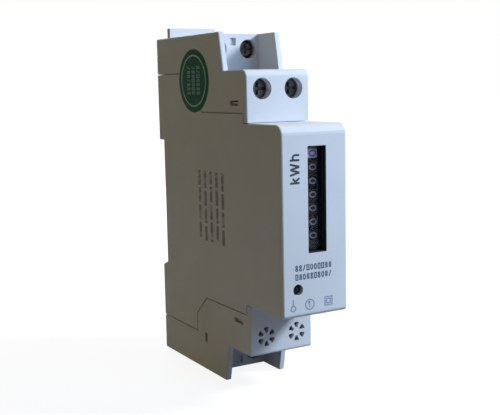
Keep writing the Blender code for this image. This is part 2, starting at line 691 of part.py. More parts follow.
def build_cover(shop, name, end, shell):
    """Terminal cover for the top (end 1) or the bottom (end -1) of the housing."""
    cover = build_blank(shop, name)
    place = (lambda outline: outline) if end > 0 else mirrored
    far = WIDTH
    share = shop.flat(name + "_share", [place(seam_outline(0.0))], "X", -far, far, True)
    combine(cover, [share], "INTERSECT")
    back_depth = WALL if end > 0 else BACK_FLOOR
    shoulder = HEIGHT - SHOULDER_INSET
    recess = [(RECESS_WALL_DEPTH, shoulder), (DEPTH, shoulder), (DEPTH, HEIGHT + WALL),
              (RECESS_WALL_DEPTH, HEIGHT + WALL)]
    combine(cover, [
        shop.flat(name + "_room", [place(cover_cavity(back_depth))], "X", -INNER_HALF, INNER_HALF, True),
        shop.flat(name + "_recess", [place(recess)], "X", -INNER_HALF, INNER_HALF, True)])
    added = [bay_rib(shop, name, end), screw_collar(shop, name, end)]
    if end > 0:
        reach = INNER_HALF - LIP_END_GAP
        added.append(shop.box("top_lip", (-reach, LIP_DEPTH, HEIGHT - WALL / 2),
                              (reach, LIP_DEPTH + LIP_THICKNESS, HEIGHT + LIP_RISE), True))
    combine(cover, added, "UNION")
    holes = small_openings(shop, name, end)
    for side in (-1, 1):
        holes += terminal_openings(shop, name, end, side)
    if end < 0:
        holes += rail_channel(shop, "cover")
    combine(cover, holes)
    return dress(cover, shell)


def bay_rib(shop, name, end):
    """Barrier rib between the two power terminals."""
    shelf = at_end(HEIGHT - SHOULDER_INSET - WALL / 2, end)
    return shop.box(name + "_rib", (-BAY_RIB / 2, POWER.cage_back, shelf - end * BAY_RIB_HEIGHT),
                    (BAY_RIB / 2, SHOULDER_INNER + WALL / 2, shelf), True)


def screw_collar(shop, name, end):
    """Thickening of the front wall around the screw holes, which stops the screws' heads."""
    z = MIDDLE + end * POWER_RISE
    rise = POWER.half_height + GAP
    reach = INNER_HALF + WALL / 2
    return shop.box(name + "_collar", (-reach, SHOULDER_INNER - SCREW_COLLAR, z - rise),
                    (reach, SHOULDER_INNER + WALL / 2, z + rise), True)


def terminal_openings(shop, name, end, side):
    """Cutters for one power terminal and for the auxiliary terminal behind it."""
    label = "%s_%s" % (name, "left" if side < 0 else "right")
    x = side * TERMINAL_X
    z = MIDDLE + end * POWER_RISE
    tools = []
    if end > 0:
        hole_end = SHOULDER_DEPTH + WALL
    else:
        hole_end = SHOULDER_DEPTH - ROSETTE_WALL
        tools += [shop.flat("petal_%s_%d" % (label, index), [rosette_petal(x, z, index)], "Y",
                            SHOULDER_INNER - WALL, SHOULDER_DEPTH + WALL, True)
                  for index in range(ROSETTE_PETALS)]
    start = SHOULDER_INNER - SCREW_COLLAR - WALL
    tools.append(shop.rod("screw_hole_" + label, (x, (start + hole_end) / 2, z), SCREW_HOLE_RADIUS,
                          hole_end - start, "Y", SCREW_HOLE_SEGMENTS, True))
    half = POWER_HALF_WIDTH - POWER.side_wall
    rear = POWER.cage_back + POWER.back_wall
    shelf = at_end(HEIGHT - SHOULDER_INSET, end)
    tools.append(shop.box("wire_entry_" + label, (x - half, rear, shelf - 2 * WALL),
                          (x + half, rear + POWER.wire_room, shelf + 2 * WALL), True))
    aux_z = MIDDLE + end * AUX_RISE
    tools.append(shop.rod("aux_hole_" + label, (x, RECESS_WALL_DEPTH, aux_z), AUX_HOLE_RADIUS,
                          4 * WALL, "Y", SCREW_HOLE_SEGMENTS, True))
    aux_rear = AUX.cage_back + AUX.back_wall + AUX.wire_room / 2
    tools.append(shop.rod("aux_entry_" + label, (x, aux_rear, at_end(HEIGHT, end)), AUX_WIRE_RADIUS,
                          4 * WALL, "Z", as_cutter=True))
    return tools


def small_openings(shop, name, end):
    """Cutters for the pocket in the recess wall, the latch slits and the sealing slot."""
    z = at_end(HEIGHT - POCKET_INSET, end)
    half = POCKET_HEIGHT / 2
    tools = [shop.box("pocket_" + name, (-POCKET_WIDTH / 2, RECESS_WALL_DEPTH - WALL / 2, z - half),
                      (POCKET_WIDTH / 2, RECESS_WALL_DEPTH + WALL, z + half), True)]
    z = at_end(LATCH_HIGH, end)
    half = LATCH_SLIT / 2
    start, stop = LATCH_DEPTH - LATCH_LENGTH / 2, LATCH_DEPTH + LATCH_LENGTH / 2
    for side in (-1, 1):
        tools.append(shop.box("slit_%s_%d" % (name, side), (side * (INNER_HALF - WALL), start, z - half),
                              (side * WIDTH, stop, z + half), True))
    z = at_end(HEIGHT - SEAL_SLOT_INSET, end)
    half, width = SEAL_SLOT_LENGTH / 2, SEAL_SLOT_WIDTH / 2
    tools.append(shop.box("seal_slot_" + name, (-WIDTH, SEAL_SLOT_DEPTH - width, z - half),
                          (-INNER_HALF + WALL, SEAL_SLOT_DEPTH + width, z + half), True))
    return tools


def build_front(shop, looks):
    """Window pane and pulse lamp in the raised front strip."""
    half = WINDOW_WIDTH / 2
    pane = shop.box("window_pane", (WINDOW_X - half - PANE_LAP, PANE_FRONT - PANE_THICKNESS,
                                    WINDOW_LOW - PANE_LAP),
                    (WINDOW_X + half + PANE_LAP, PANE_FRONT, WINDOW_TOP + PANE_LAP))
    dress(pane, looks["pane"])
    tip = DEPTH - LED_RECESS
    shoulder = LED_LENGTH - LED_RADIUS
    dome = [(0.0, LED_LENGTH)]
    for step in range(1, 6):
        angle = math.radians(18 * step)
        dome.append((LED_RADIUS * math.sin(angle), shoulder + LED_RADIUS * math.cos(angle)))
    flange = LED_RADIUS + 0.25 * MM
    profile = dome + [(LED_RADIUS, 0.6 * MM), (flange, 0.6 * MM), (flange, 0.0), (0.0, 0.0)]
    matrix = standing(world(LED_X, tip - LED_LENGTH, LED_Z), "X")
    dress(shop.turned("pulse_led", profile, matrix), looks["lamp"])


def build_drums(shop, looks):
    """Digit drums with their ring gears, the drum shaft, and all pinions on their shaft."""
    profile = [(DRUM_HUB_RADIUS, DRUM_WIDTH / 2), (DRUM_RADIUS, DRUM_WIDTH / 2),
               (DRUM_RADIUS, -DRUM_WIDTH / 2), (DRUM_RADIUS - DRUM_RIM, -DRUM_WIDTH / 2),
               (DRUM_RADIUS - DRUM_RIM, DRUM_WIDTH / 2 - DRUM_WEB),
               (DRUM_HUB_RADIUS, DRUM_WIDTH / 2 - DRUM_WEB), (DRUM_HUB_RADIUS, -DRUM_WIDTH / 2),
               (SHAFT_RADIUS + SHAFT_PLAY, -DRUM_WIDTH / 2), (SHAFT_RADIUS + SHAFT_PLAY, DRUM_WIDTH / 2)]
    drum = shop.turned("drum_blank", profile, Matrix.Identity(4), DRUM_SEGMENTS, ring=True)
    towards_pinion = math.pi / 2
    gear = shop.flat("drum_gear", [gear_outline(DRUM_TEETH, towards_pinion),
                                   circle(0.0, 0.0, DRUM_HUB_RADIUS)], "Z",
                     DRUM_WIDTH / 2 - DRUM_WEB / 2, DRUM_WIDTH / 2 + GEAR_HEIGHT, True)
    gear.matrix_world = Matrix.Translation((0, 0, DRUM_WIDTH / 2 + (GEAR_HEIGHT - DRUM_WEB / 2) / 2))
    combine(drum, [gear], "UNION")
    drum_mesh = baked_mesh(drum, "digit_drum")
    half_pitch = math.pi / PINION_TEETH
    pinion_mesh = gear_mesh(shop, "pinion", PINION_TEETH, -math.pi / 2 + half_pitch)
    for index in range(DRUM_COUNT):
        z = FIRST_DRUM_Z - index * DRUM_PITCH
        name = "digit_drum_%d" % (index + 1)
        place = Matrix.Translation(world(DRUM_X, DRUM_AXIS_DEPTH, z))
        copy = shop.place(name, drum_mesh.copy(), place)
        dress(copy, looks["first_drum"] if index == 0 else looks["drum"])
        name = "drive_pinion" if index == 0 else "transfer_pinion_%d" % index
        middle = z + PINION_BASE + PINION_HEIGHT / 2
        place = Matrix.Translation(world(DRUM_X, PINION_DEPTH, middle))
        copy = shop.place(name, pinion_mesh.copy(), place)
        dress(copy, looks["gear"])
    for name, depth in (("drum_shaft", DRUM_AXIS_DEPTH), ("pinion_shaft", PINION_DEPTH)):
        shaft = shop.rod(name, (DRUM_X, depth, (SHAFT_LOW + SHAFT_HIGH) / 2), SHAFT_RADIUS,
                         SHAFT_HIGH - SHAFT_LOW, "Z")
        dress(shaft, looks["steel"])


def gear_mesh(shop, name, teeth, phase):
    """Mesh of a plain gear with a running bore, centred on its own origin."""
    gear = shop.flat(name, [gear_outline(teeth, phase), circle(0.0, 0.0, SHAFT_RADIUS + SHAFT_PLAY)],
                     "Z", 0.0, PINION_HEIGHT)
    gear.matrix_world = Matrix.Identity(4)
    return baked_mesh(gear, name)


def build_motor(shop, looks):
    """Stepper motor behind the drums and the gear on its shaft."""
    low = MOTOR_TOP - MOTOR_HEIGHT
    rim = 0.5 * MM
    boss = 1.4 * MM
    profile = [(0.0, MOTOR_HEIGHT), (boss, MOTOR_HEIGHT), (boss, MOTOR_HEIGHT - rim),
               (MOTOR_RADIUS - rim, MOTOR_HEIGHT - rim), (MOTOR_RADIUS, MOTOR_HEIGHT - 2 * rim),
               (MOTOR_RADIUS, rim), (MOTOR_RADIUS - rim, 0.0), (0.0, 0.0)]
    place = Matrix.Translation(world(DRUM_X, MOTOR_DEPTH, low))
    dress(shop.turned("stepper_motor", profile, place, 24), looks["motor"])
    middle = FIRST_DRUM_Z + PINION_BASE + PINION_HEIGHT / 2
    phase = -math.pi / 2
    gear = shop.flat("motor_gear", [gear_outline(MOTOR_TEETH, phase)], "Z", 0.0, PINION_HEIGHT)
    gear.matrix_world = Matrix.Translation(world(DRUM_X, MOTOR_DEPTH, middle))
    foot, head = MOTOR_TOP + GAP, SHAFT_HIGH
    stub = shop.rod("motor_stub", (DRUM_X, MOTOR_DEPTH, (foot + head) / 2), SHAFT_RADIUS, head - foot,
                    "Z", as_cutter=True)
    combine(gear, [stub], "UNION")
    dress(gear, looks["gear"])


def build_register_frame(shop, looks):
    """Black frame: mask behind the window, end plates for the shafts, web and motor shelf."""
    half = WINDOW_WIDTH / 2
    mask_low, mask_high = WINDOW_LOW - PANE_LAP, WINDOW_TOP + 2 * PANE_LAP
    side = PLATE_HALF_WIDTH + 0.4 * MM
    right = INNER_HALF - GAP
    mask = rectangle(DRUM_X - side - PANE_LAP, right, mask_low, mask_high, 0.6 * MM, 3)
    low = LAST_DRUM_Z - DRUM_WIDTH / 2 - 0.2 * MM
    high = FIRST_DRUM_Z + DRUM_WIDTH / 2 + 0.2 * MM
    view = rectangle(WINDOW_X - half, WINDOW_X + half, low, high)
    drum_front = DRUM_AXIS_DEPTH + DRUM_RADIUS
    frame = shop.flat("register_frame", [mask, view], "Y", drum_front + GAP, FRAME_FRONT)
    inner = FRAME_FRONT - 0.3 * PLATE
    rear = MOTOR_DEPTH - MOTOR_RADIUS
    web_front = PINION_DEPTH
    top = shop.box("top_plate", (DRUM_X - PLATE_HALF_WIDTH, rear, TOP_PLATE_Z),
                   (right, inner, TOP_PLATE_Z + PLATE), True)
    low_rear = PINION_DEPTH - 2 * PLATE
    bottom = shop.box("bottom_plate", (DRUM_X - PLATE_HALF_WIDTH, low_rear, LOW_PLATE_Z),
                      (right, inner, LOW_PLATE_Z + PLATE), True)
    web = shop.box("side_web", (right - PLATE, rear, LOW_PLATE_Z),
                   (right, web_front, TOP_PLATE_Z + PLATE), True)
    shelf_top = MOTOR_TOP - MOTOR_HEIGHT - GAP
    shelf = shop.box("motor_shelf", (DRUM_X - MOTOR_RADIUS, rear, shelf_top - PLATE),
                     (right, MOTOR_DEPTH + MOTOR_RADIUS - PLATE, shelf_top), True)
    combine(frame, [top, bottom, web, shelf], "UNION")
    bore = SHAFT_RADIUS + SHAFT_PLAY
    length = TOP_PLATE_Z - LOW_PLATE_Z + 4 * PLATE
    middle = (TOP_PLATE_Z + LOW_PLATE_Z) / 2
    bores = [shop.rod(label + "_bore", (DRUM_X, depth, middle), bore, length, "Z", as_cutter=True)
             for label, depth in (("drum", DRUM_AXIS_DEPTH), ("pinion", PINION_DEPTH))]
    bores.append(shop.rod("motor_bore", (DRUM_X, MOTOR_DEPTH, TOP_PLATE_Z), bore, 4 * PLATE, "Z",
                          as_cutter=True))
    combine(frame, bores)
    dress(frame, looks["frame"])


def build_board(shop, looks):
    """Main circuit board along the left wall with two round holes, and its components."""
    chamfer = BOARD_HOLE_INSET
    outline = rounded([(BOARD_BACK_DEPTH, BOARD_LOW, BOARD_CORNER),
                       (BOARD_FRONT_DEPTH - chamfer, BOARD_LOW, BOARD_CORNER),
                       (BOARD_FRONT_DEPTH, BOARD_LOW + chamfer, BOARD_CORNER),
                       (BOARD_FRONT_DEPTH, BOARD_HIGH - chamfer, BOARD_CORNER),
                       (BOARD_FRONT_DEPTH - chamfer, BOARD_HIGH, BOARD_CORNER),
                       (BOARD_BACK_DEPTH, BOARD_HIGH, BOARD_CORNER)], 3)
    depth = BOARD_BACK_DEPTH + BOARD_HOLE_INSET
    holes = [circle(depth, z, BOARD_HOLE_RADIUS, 12)
             for z in (BOARD_LOW + BOARD_HOLE_INSET, BOARD_HIGH - BOARD_HOLE_INSET)]
    board = shop.flat("main_board", [outline] + holes, "X", BOARD_X, BOARD_FACE)
    dress(board, looks["board"])
    build_components(shop, looks, BOARD_FACE + GAP)


def build_components(shop, looks, seat):
    """Power supply and metering components standing on the board's inner face."""
    stood_can(shop, "film_capacitor", FILM_CAPACITOR, 0.8 * MM, looks["film"], seat)
    stood_can(shop, "crystal", CRYSTAL, CRYSTAL.height / 2 - WELD, looks["tin"], seat)

    item = ELECTROLYTIC
    radius, length, neck = item.height / 2, item.stand, 0.3 * MM
    profile = [(0.0, length), (radius - neck, length), (radius, length - neck), (radius, 8 * neck),
               (radius - neck, 7 * neck), (radius, 6 * neck), (radius, neck), (radius - neck, 0.0),
               (0.0, 0.0)]
    stood_disc(shop, "electrolytic_capacitor", item, profile, looks["sleeve"], seat)

    item = VARISTOR
    radius, length, edge = item.height / 2, item.stand, 0.8 * MM
    profile = [(0.0, length), (radius - edge, length), (radius, length - edge), (radius, edge),
               (radius - edge, 0.0), (0.0, 0.0)]
    stood_disc(shop, "varistor", item, profile, looks["varistor"], seat)

    build_chip(shop, "optocoupler", OPTOCOUPLER, 2, looks["chip"], seat)
    build_chip(shop, "metering_ic", METERING_IC, 8, looks["chip"], seat)


def stood_can(shop, name, item, corner, finish, seat):
    """Component with a flat outline and softened rims, standing on the board."""
    z = MIDDLE + item.rise
    outline = rectangle(item.depth - item.length / 2, item.depth + item.length / 2,
                        z - item.height / 2, z + item.height / 2, corner)
    can = shop.flat(name, [outline], "X", seat, seat + item.stand)
    soften_rim(can, SIDE_EDGE)
    dress(can, finish)


def stood_disc(shop, name, item, profile, finish, seat):
    """Round component that stands on the board on its end."""
    matrix = standing(world(seat, item.depth, MIDDLE + item.rise), "Y")
    dress(shop.turned(name, profile, matrix, 20), finish)


def build_chip(shop, name, item, legs, finish, seat):
    """Moulded chip on the board with a row of legs along each long side, as one solid."""
    start, low = item.depth - item.length / 2, MIDDLE + item.rise - item.height / 2
    lift, leg_rise, leg_reach = 0.2 * MM, 0.5 * MM, 0.9 * MM
    body = shop.box(name, (seat + lift, start, low),
                    (seat + item.stand, start + item.length, low + item.height))
    pitch = item.length / legs
    leg_half = pitch * 0.18
    rows = []
    for index in range(legs):
        middle = start + pitch * (index + 0.5)
        rows.append(shop.box("%s_leg_%d" % (name, index), (seat, middle - leg_half, low - leg_reach),
                             (seat + leg_rise, middle + leg_half, low + item.height + leg_reach), True))
    combine(body, rows, "UNION")
    dress(body, finish)


def strip(x, low, high):
    """Outline of an upright conductor bar in (x, z)."""
    return rectangle(x - BAR_WIDTH / 2, x + BAR_WIDTH / 2, low, high, BAR_CORNER, 3)


def build_conductors(shop, looks):
    """Line bars with the shunt lapped behind them, and the neutral link."""
    reach = POWER_RISE + POWER.half_height - GAP
    front, back = BAR_DEPTH + BAR_THICKNESS, BAR_DEPTH
    neck = SHUNT_LENGTH / 2 - SHUNT_LAP
    left, right = -TERMINAL_X, TERMINAL_X
    for name, end in (("line_bar_top", 1), ("line_bar_bottom", -1)):
        low, high = sorted((MIDDLE + end * neck, MIDDLE + end * reach))
        rivet = circle(left, MIDDLE + end * (neck + SHUNT_LAP / 2), RIVET_RADIUS, 12)
        bar = shop.flat(name, [strip(left, low, high), rivet], "Y", back, front)
        dress(bar, looks["copper"])
    plate_front = back - GAP
    wide, waist = BAR_WIDTH / 2, BAR_WIDTH / 2 - SHUNT_WAIST
    upper = [(-wide, SHUNT_LENGTH / 2), (-wide, neck), (-waist, neck - 2 * SHUNT_WAIST)]
    side = upper + [(u, -v) for u, v in reversed(upper)]
    side += [(-u, v) for u, v in reversed(side)]
    outline = [(left + u, MIDDLE + v) for u, v in side]
    shunt = shop.flat("current_shunt", [outline], "Y", plate_front - SHUNT_THICKNESS, plate_front)
    dress(shunt, looks["manganin"])
    link = shop.flat("neutral_link", [strip(right, MIDDLE - reach, MIDDLE + reach),
                                      circle(right, MIDDLE, RIVET_RADIUS, 12)], "Y", back, front)
    dress(link, looks["copper"])


def cage_outline(size, half_width):
    """Closed ring of a clamp cage in (x, depth), seen along the wire, and its inside."""
    outer = rectangle(-half_width, half_width, size.cage_back, size.cage_front, 0.4 * MM, 2)
    inner = rectangle(-half_width + size.side_wall, half_width - size.side_wall,
                      size.cage_back + size.back_wall, size.cage_front - size.front_wall)
    return [outer, inner]


def shifted(outlines, x):
    """Outlines moved across the module."""
    return [[(u + x, v) for u, v in outline] for outline in outlines]


def build_screw(shop, name, size, x, z, finish):
    """Captive terminal screw with a crossed slot, its origin on its axis under the head."""
    bevel = 0.25 * MM
    profile = [(0.0, size.head_height), (size.head_radius - bevel, size.head_height),
               (size.head_radius, size.head_height - bevel), (size.head_radius, 0.0),
               (size.shank_radius, 0.0), (size.shank_radius, -size.shank_length + bevel),
               (size.shank_radius - bevel, -size.shank_length), (0.0, -size.shank_length)]
    screw = shop.turned(name, profile, standing(world(x, size.head_seat, z), "X"))
    floor = size.head_seat + size.head_height - size.slot_depth
    wide, thin = size.head_radius * 0.86, size.slot_width / 2
    combine(screw, [shop.box("%s_%s" % (label, name), (x - across, floor, z - upright),
                             (x + across, floor + 3 * size.slot_depth, z + upright), True)
                    for label, across, upright in (("slot", wide, thin), ("cross", thin, wide * 0.62))])
    return dress(screw, finish)


def build_terminal(shop, prefix, number, size, half_width, x, z, looks):
    """Clamp cage and its screw."""
    name = "%s_clamp_%d" % (prefix, number)
    cage = shop.flat(name, shifted(cage_outline(size, half_width), x), "Z", z - size.half_height,
                     z + size.half_height, origin=(x, size.cage_front))
    hole = shop.rod("thread_" + name, (x, size.cage_front, z), size.shank_radius + GAP,
                    4 * size.front_wall, "Y", as_cutter=True)
    combine(cage, [hole])
    dress(cage, looks["plated"])
    build_screw(shop, "%s_screw_%d" % (prefix, number), size, x, z, looks["screw"])


def build_terminals(shop, looks):
    """Two power and two auxiliary terminals at each end, with the auxiliary contacts."""
    number = 0
    for end in (1, -1):
        for side in (-1, 1):
            number += 1
            x = side * TERMINAL_X
            for prefix, size, half_width, rise in (("power", POWER, POWER_HALF_WIDTH, POWER_RISE),
                                                   ("aux", AUX, AUX_HALF_WIDTH, AUX_RISE)):
                build_terminal(shop, prefix, number, size, half_width, x, MIDDLE + end * rise, looks)
            build_aux_contact(shop, number, end, side, looks["brass"])


def build_aux_contact(shop, number, end, side, finish):
    """Contact blade from an auxiliary clamp to the board; the right one ends lower down."""
    x = side * TERMINAL_X
    half = AUX_CONTACT_WIDTH / 2
    tip = MIDDLE + end * (AUX_RISE + AUX.half_height - GAP)
    board_edge = BOARD_FACE + GAP
    foot = at_end(BOARD_HIGH - CONTACT_FOOT_INSET, end)
    if side > 0:
        foot -= end * CONTACT_FOOT_STEP
    shoulder = foot + end * AUX_CONTACT_WIDTH
    outline = [(board_edge, foot), (x + half, foot), (x + half, tip), (x - half, tip),
               (x - half, shoulder), (board_edge, shoulder)]
    front = AUX.contact_front
    blade = shop.flat("aux_contact_%d" % number, [outline], "Y", front - AUX.contact, front)
    dress(blade, finish)


def build_rail_clip(shop, looks):
    """Sliding rail clip: T-shaped slide with a tooth, two spring legs and a tool eye."""
    low, high = CLIP_FOOT, NOTCH_LOW - NOTCH_LEAD
    wide, narrow = CLIP_HALF_WIDTH + CLIP_FLANGE, CLIP_HALF_WIDTH
    back = GAP + CLIP_THICKNESS
    face = CLIP_FACE + GAP
    slide = shop.flat("rail_clip", [rectangle(-wide, wide, face, back)], "Z", low + CLIP_TIP, high,
                      origin=(0.0, back))
    raised = shop.box("clip_face", (-narrow, GAP, low), (narrow, back, high), True)
    peak = NOTCH_LOW + CLIP_TOOTH
    profile = [(GAP, high - CLIP_TIP), (HOOK_DEPTH, high - CLIP_TIP), (HOOK_DEPTH, peak),
               (HOOK_DEPTH * 0.75, peak), (GAP, NOTCH_LOW - CLIP_TOOTH / 2)]
    tooth = shop.flat("clip_tooth", [profile], "X", -narrow, narrow, True)
    combine(slide, [raised, tooth], "UNION")
    openings = [shop.box("tool_eye", (-CLIP_EYE, -WALL, low + CLIP_TIP / 2),
                         (CLIP_EYE, back + WALL, low + CLIP_TIP / 2 + CLIP_EYE), True)]
    for side in (-1, 1):
        inner, outer = narrow - CLIP_LEG - CLIP_LEG_GAP, narrow - CLIP_LEG
        openings.append(shop.box("leg_gap_%d" % side, (side * inner, -WALL, low + 2 * CLIP_TIP),
                                 (side * outer, back + WALL, low + 2 * CLIP_TIP + CLIP_LEG_LENGTH), True))
    combine(slide, openings)
    dress(slide, looks["clip"])


def make_looks():
    """Every finish of the meter."""
    return {
        "shell": make_material("shell_white", (0.72, 0.74, 0.76), 0.42),
        "pane": make_material("clear_pane", (0.85, 0.87, 0.90), 0.08, alpha=0.35),
        "lamp": make_material("lamp_resin", (0.10, 0.02, 0.02), 0.15),
        "drum": make_material("drum_black", (0.03, 0.03, 0.035), 0.45),
        "first_drum": make_material("drum_light", (0.70, 0.70, 0.76), 0.45),
        "gear": make_material("gear_natural", (0.80, 0.80, 0.76), 0.5),
        "frame": make_material("frame_black", (0.02, 0.02, 0.02), 0.5),
        "motor": make_material("motor_can", (0.55, 0.55, 0.56), 0.35, 0.9),
        "steel": make_material("shaft_steel", (0.62, 0.62, 0.63), 0.28, 1.0),
        "board": make_material("board_green", (0.03, 0.20, 0.10), 0.5),
        "film": make_material("film_yellow", (0.75, 0.55, 0.08), 0.45),
        "sleeve": make_material("sleeve_black", (0.03, 0.03, 0.05), 0.4),
        "varistor": make_material("varistor_blue", (0.04, 0.12, 0.40), 0.4),
        "chip": make_material("chip_black", (0.02, 0.02, 0.02), 0.55),
        "tin": make_material("tin_can", (0.70, 0.70, 0.70), 0.3, 1.0),
        "copper": make_material("bar_copper", (0.72, 0.38, 0.22), 0.35, 1.0),
        "manganin": make_material("shunt_alloy", (0.50, 0.40, 0.33), 0.4, 1.0),
        "brass": make_material("contact_brass", (0.75, 0.60, 0.28), 0.35, 1.0),
        "plated": make_material("cage_plated", (0.66, 0.66, 0.62), 0.35, 1.0),
        "screw": make_material("screw_steel", (0.50, 0.50, 0.50), 0.35, 1.0),
        "clip": make_material("clip_grey", (0.45, 0.46, 0.48), 0.5),
    }


def build_meter():
    """Build every piece of the meter in an emptied scene."""
    for stale in list(bpy.data.objects):
        bpy.data.objects.remove(stale, do_unlink=True)
    shop = Workshop()
    looks = make_looks()
    build_case(shop, looks["shell"])
    build_cover(shop, "cover_top", 1, looks["shell"])
    build_cover(shop, "cover_bottom", -1, looks["shell"])
    build_rail_clip(shop, looks)
    build_front(shop, looks)
    build_register_frame(shop, looks)
    build_drums(shop, looks)
    build_motor(shop, looks)
    build_board(shop, looks)
    build_conductors(shop, looks)
    build_terminals(shop, looks)


build_meter()
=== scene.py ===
"""Looks of a narrow rail-mounted energy meter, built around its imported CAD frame.

Everything is in metres in the frame's own axes: X across the module, -Y out of the front
face, +Z up. Sizes in the classes are in millimetres, and depths are measured forwards from
the housing's back face, as they are in the part's own source.
"""
from __future__ import annotations

import logging
import math
from dataclasses import dataclass
from enum import Enum
from typing import Any, Optional, Sequence, Union

import bmesh
import bpy
import numpy as np
from mathutils import Matrix, Vector


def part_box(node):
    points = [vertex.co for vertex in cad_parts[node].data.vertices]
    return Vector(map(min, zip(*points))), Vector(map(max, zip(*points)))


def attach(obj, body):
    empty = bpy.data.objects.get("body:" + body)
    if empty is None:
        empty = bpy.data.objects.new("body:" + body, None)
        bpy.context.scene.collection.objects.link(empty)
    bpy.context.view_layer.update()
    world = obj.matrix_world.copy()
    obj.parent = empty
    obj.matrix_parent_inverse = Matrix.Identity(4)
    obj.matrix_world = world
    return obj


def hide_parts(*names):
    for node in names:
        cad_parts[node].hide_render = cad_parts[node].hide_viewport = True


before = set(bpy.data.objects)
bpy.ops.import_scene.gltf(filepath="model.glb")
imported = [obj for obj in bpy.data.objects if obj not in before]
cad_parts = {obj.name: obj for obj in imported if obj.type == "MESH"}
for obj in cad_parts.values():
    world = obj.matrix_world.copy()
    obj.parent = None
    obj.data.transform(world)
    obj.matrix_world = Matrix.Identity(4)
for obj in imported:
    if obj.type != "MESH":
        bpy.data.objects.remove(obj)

LOG = logging.getLogger("meter")
MM = 0.001
Pair = tuple[float, float]
Triple = tuple[float, float, float]
Colour = Triple
Node = bpy.types.Node
Material = bpy.types.Material
Socket = bpy.types.NodeSocket
Feed = Union[Socket, float, Sequence[float]]
Path = np.ndarray


# Shader wiring

class Wiring:
    """A node tree under construction: makes nodes, sets their sockets and joins them."""

    def __init__(self, tree: bpy.types.NodeTree) -> None:
        """Takes the tree that the nodes go into."""
        self.tree = tree

    def feed(self, socket: Socket, value: Feed) -> None:
        """Joins a socket to another one, or sets its own value.

        Args:
            socket: The input to fill.
            value: A socket to link from, or a number, vector or colour.
        """
        if isinstance(value, Socket):
            self.tree.links.new(value, socket)
        elif isinstance(value, (tuple, list)) and socket.type == "RGBA" and len(value) == 3:
            socket.default_value = (*value, 1.0)
        else:
            socket.default_value = value

    def node(self, kind: str, inputs: Optional[dict[Any, Feed]] = None, **settings: Any) -> Node:
        """Makes a node.

        Args:
            kind: The shader node's type without its ShaderNode prefix.
            inputs: Values or sockets by input name or number.
            **settings: The node's own properties.

        Returns:
            The new node.
        """
        made = self.tree.nodes.new("ShaderNode" + kind)
        for name, value in settings.items():
            setattr(made, name, value)
        for name, value in (inputs or {}).items():
            self.feed(made.inputs[name], value)
        return made

    def math(self, operation: str, first: Feed, second: Feed = 0.0) -> Socket:
        """One Math node's result."""
        return self.node("Math", {0: first, 1: second}, operation=operation).outputs[0]

    def ramp(self, value: Feed, low: float, high: float, start: float = 0.0, end: float = 1.0) -> Socket:
        """value carried from the range low..high to start..end, held at both ends."""
        made = self.node("MapRange", {"Value": value, "From Min": low, "From Max": high,
                                      "To Min": start, "To Max": end}, clamp=True)
        return made.outputs[0]

    def mix(self, amount: Feed, first: Feed, second: Feed) -> Socket:
        """A colour between first and second, by amount."""
        return self.node("Mix", {0: amount, 6: first, 7: second}, data_type="RGBA").outputs[2]

    def noise(self, place: Feed, scale: Feed, detail: float = 2.0, rough: float = 0.5) -> Socket:
        """Cloudy noise from 0 to 1 at a place."""
        return self.node("TexNoise", {"Vector": place, "Scale": scale, "Detail": detail,
                                      "Roughness": rough}).outputs[0]

    def place(self) -> Socket:
        """The point's place in the piece's own coordinates."""
        return self.node("TexCoord").outputs["Object"]

    def seen(self) -> Socket:
        """1 where the camera, a glossy surface or clear plastic looks at this, otherwise 0."""
        rays = self.node("LightPath").outputs
        direct = self.math("MAXIMUM", rays["Is Camera Ray"], rays["Is Glossy Ray"])
        return self.math("MAXIMUM", direct, rays["Is Transmission Ray"])

    def axes(self, place: Socket) -> tuple[Socket, Socket, Socket]:
        """The three parts of a place."""
        made = self.node("SeparateXYZ", {0: place})
        return made.outputs[0], made.outputs[1], made.outputs[2]


class Effect(Enum):
    """The shared node groups, by what they show."""

    SKIN = "moulded_skin"
    DRAWN = "drawn_metal"
    DUST = "settled_dust"


def open_group(name: str, inputs: dict[str, tuple[str, Any]],
               outputs: Sequence[str]) -> tuple[Wiring, Node, Node]:
    """Starts a shader node group.

    Args:
        name: The group's name.
        inputs: Socket type and default by input name.
        outputs: Names of the float outputs.

    Returns:
        The wiring, the group's input node and its output node.
    """
    tree = bpy.data.node_groups.new(name, "ShaderNodeTree")
    for label, (kind, default) in inputs.items():
        made = tree.interface.new_socket(label, in_out="INPUT", socket_type=kind)
        made.default_value = default
    for label in outputs:
        tree.interface.new_socket(label, in_out="OUTPUT", socket_type="NodeSocketFloat")
    wiring = Wiring(tree)
    return wiring, tree.nodes.new("NodeGroupInput"), tree.nodes.new("NodeGroupOutput")


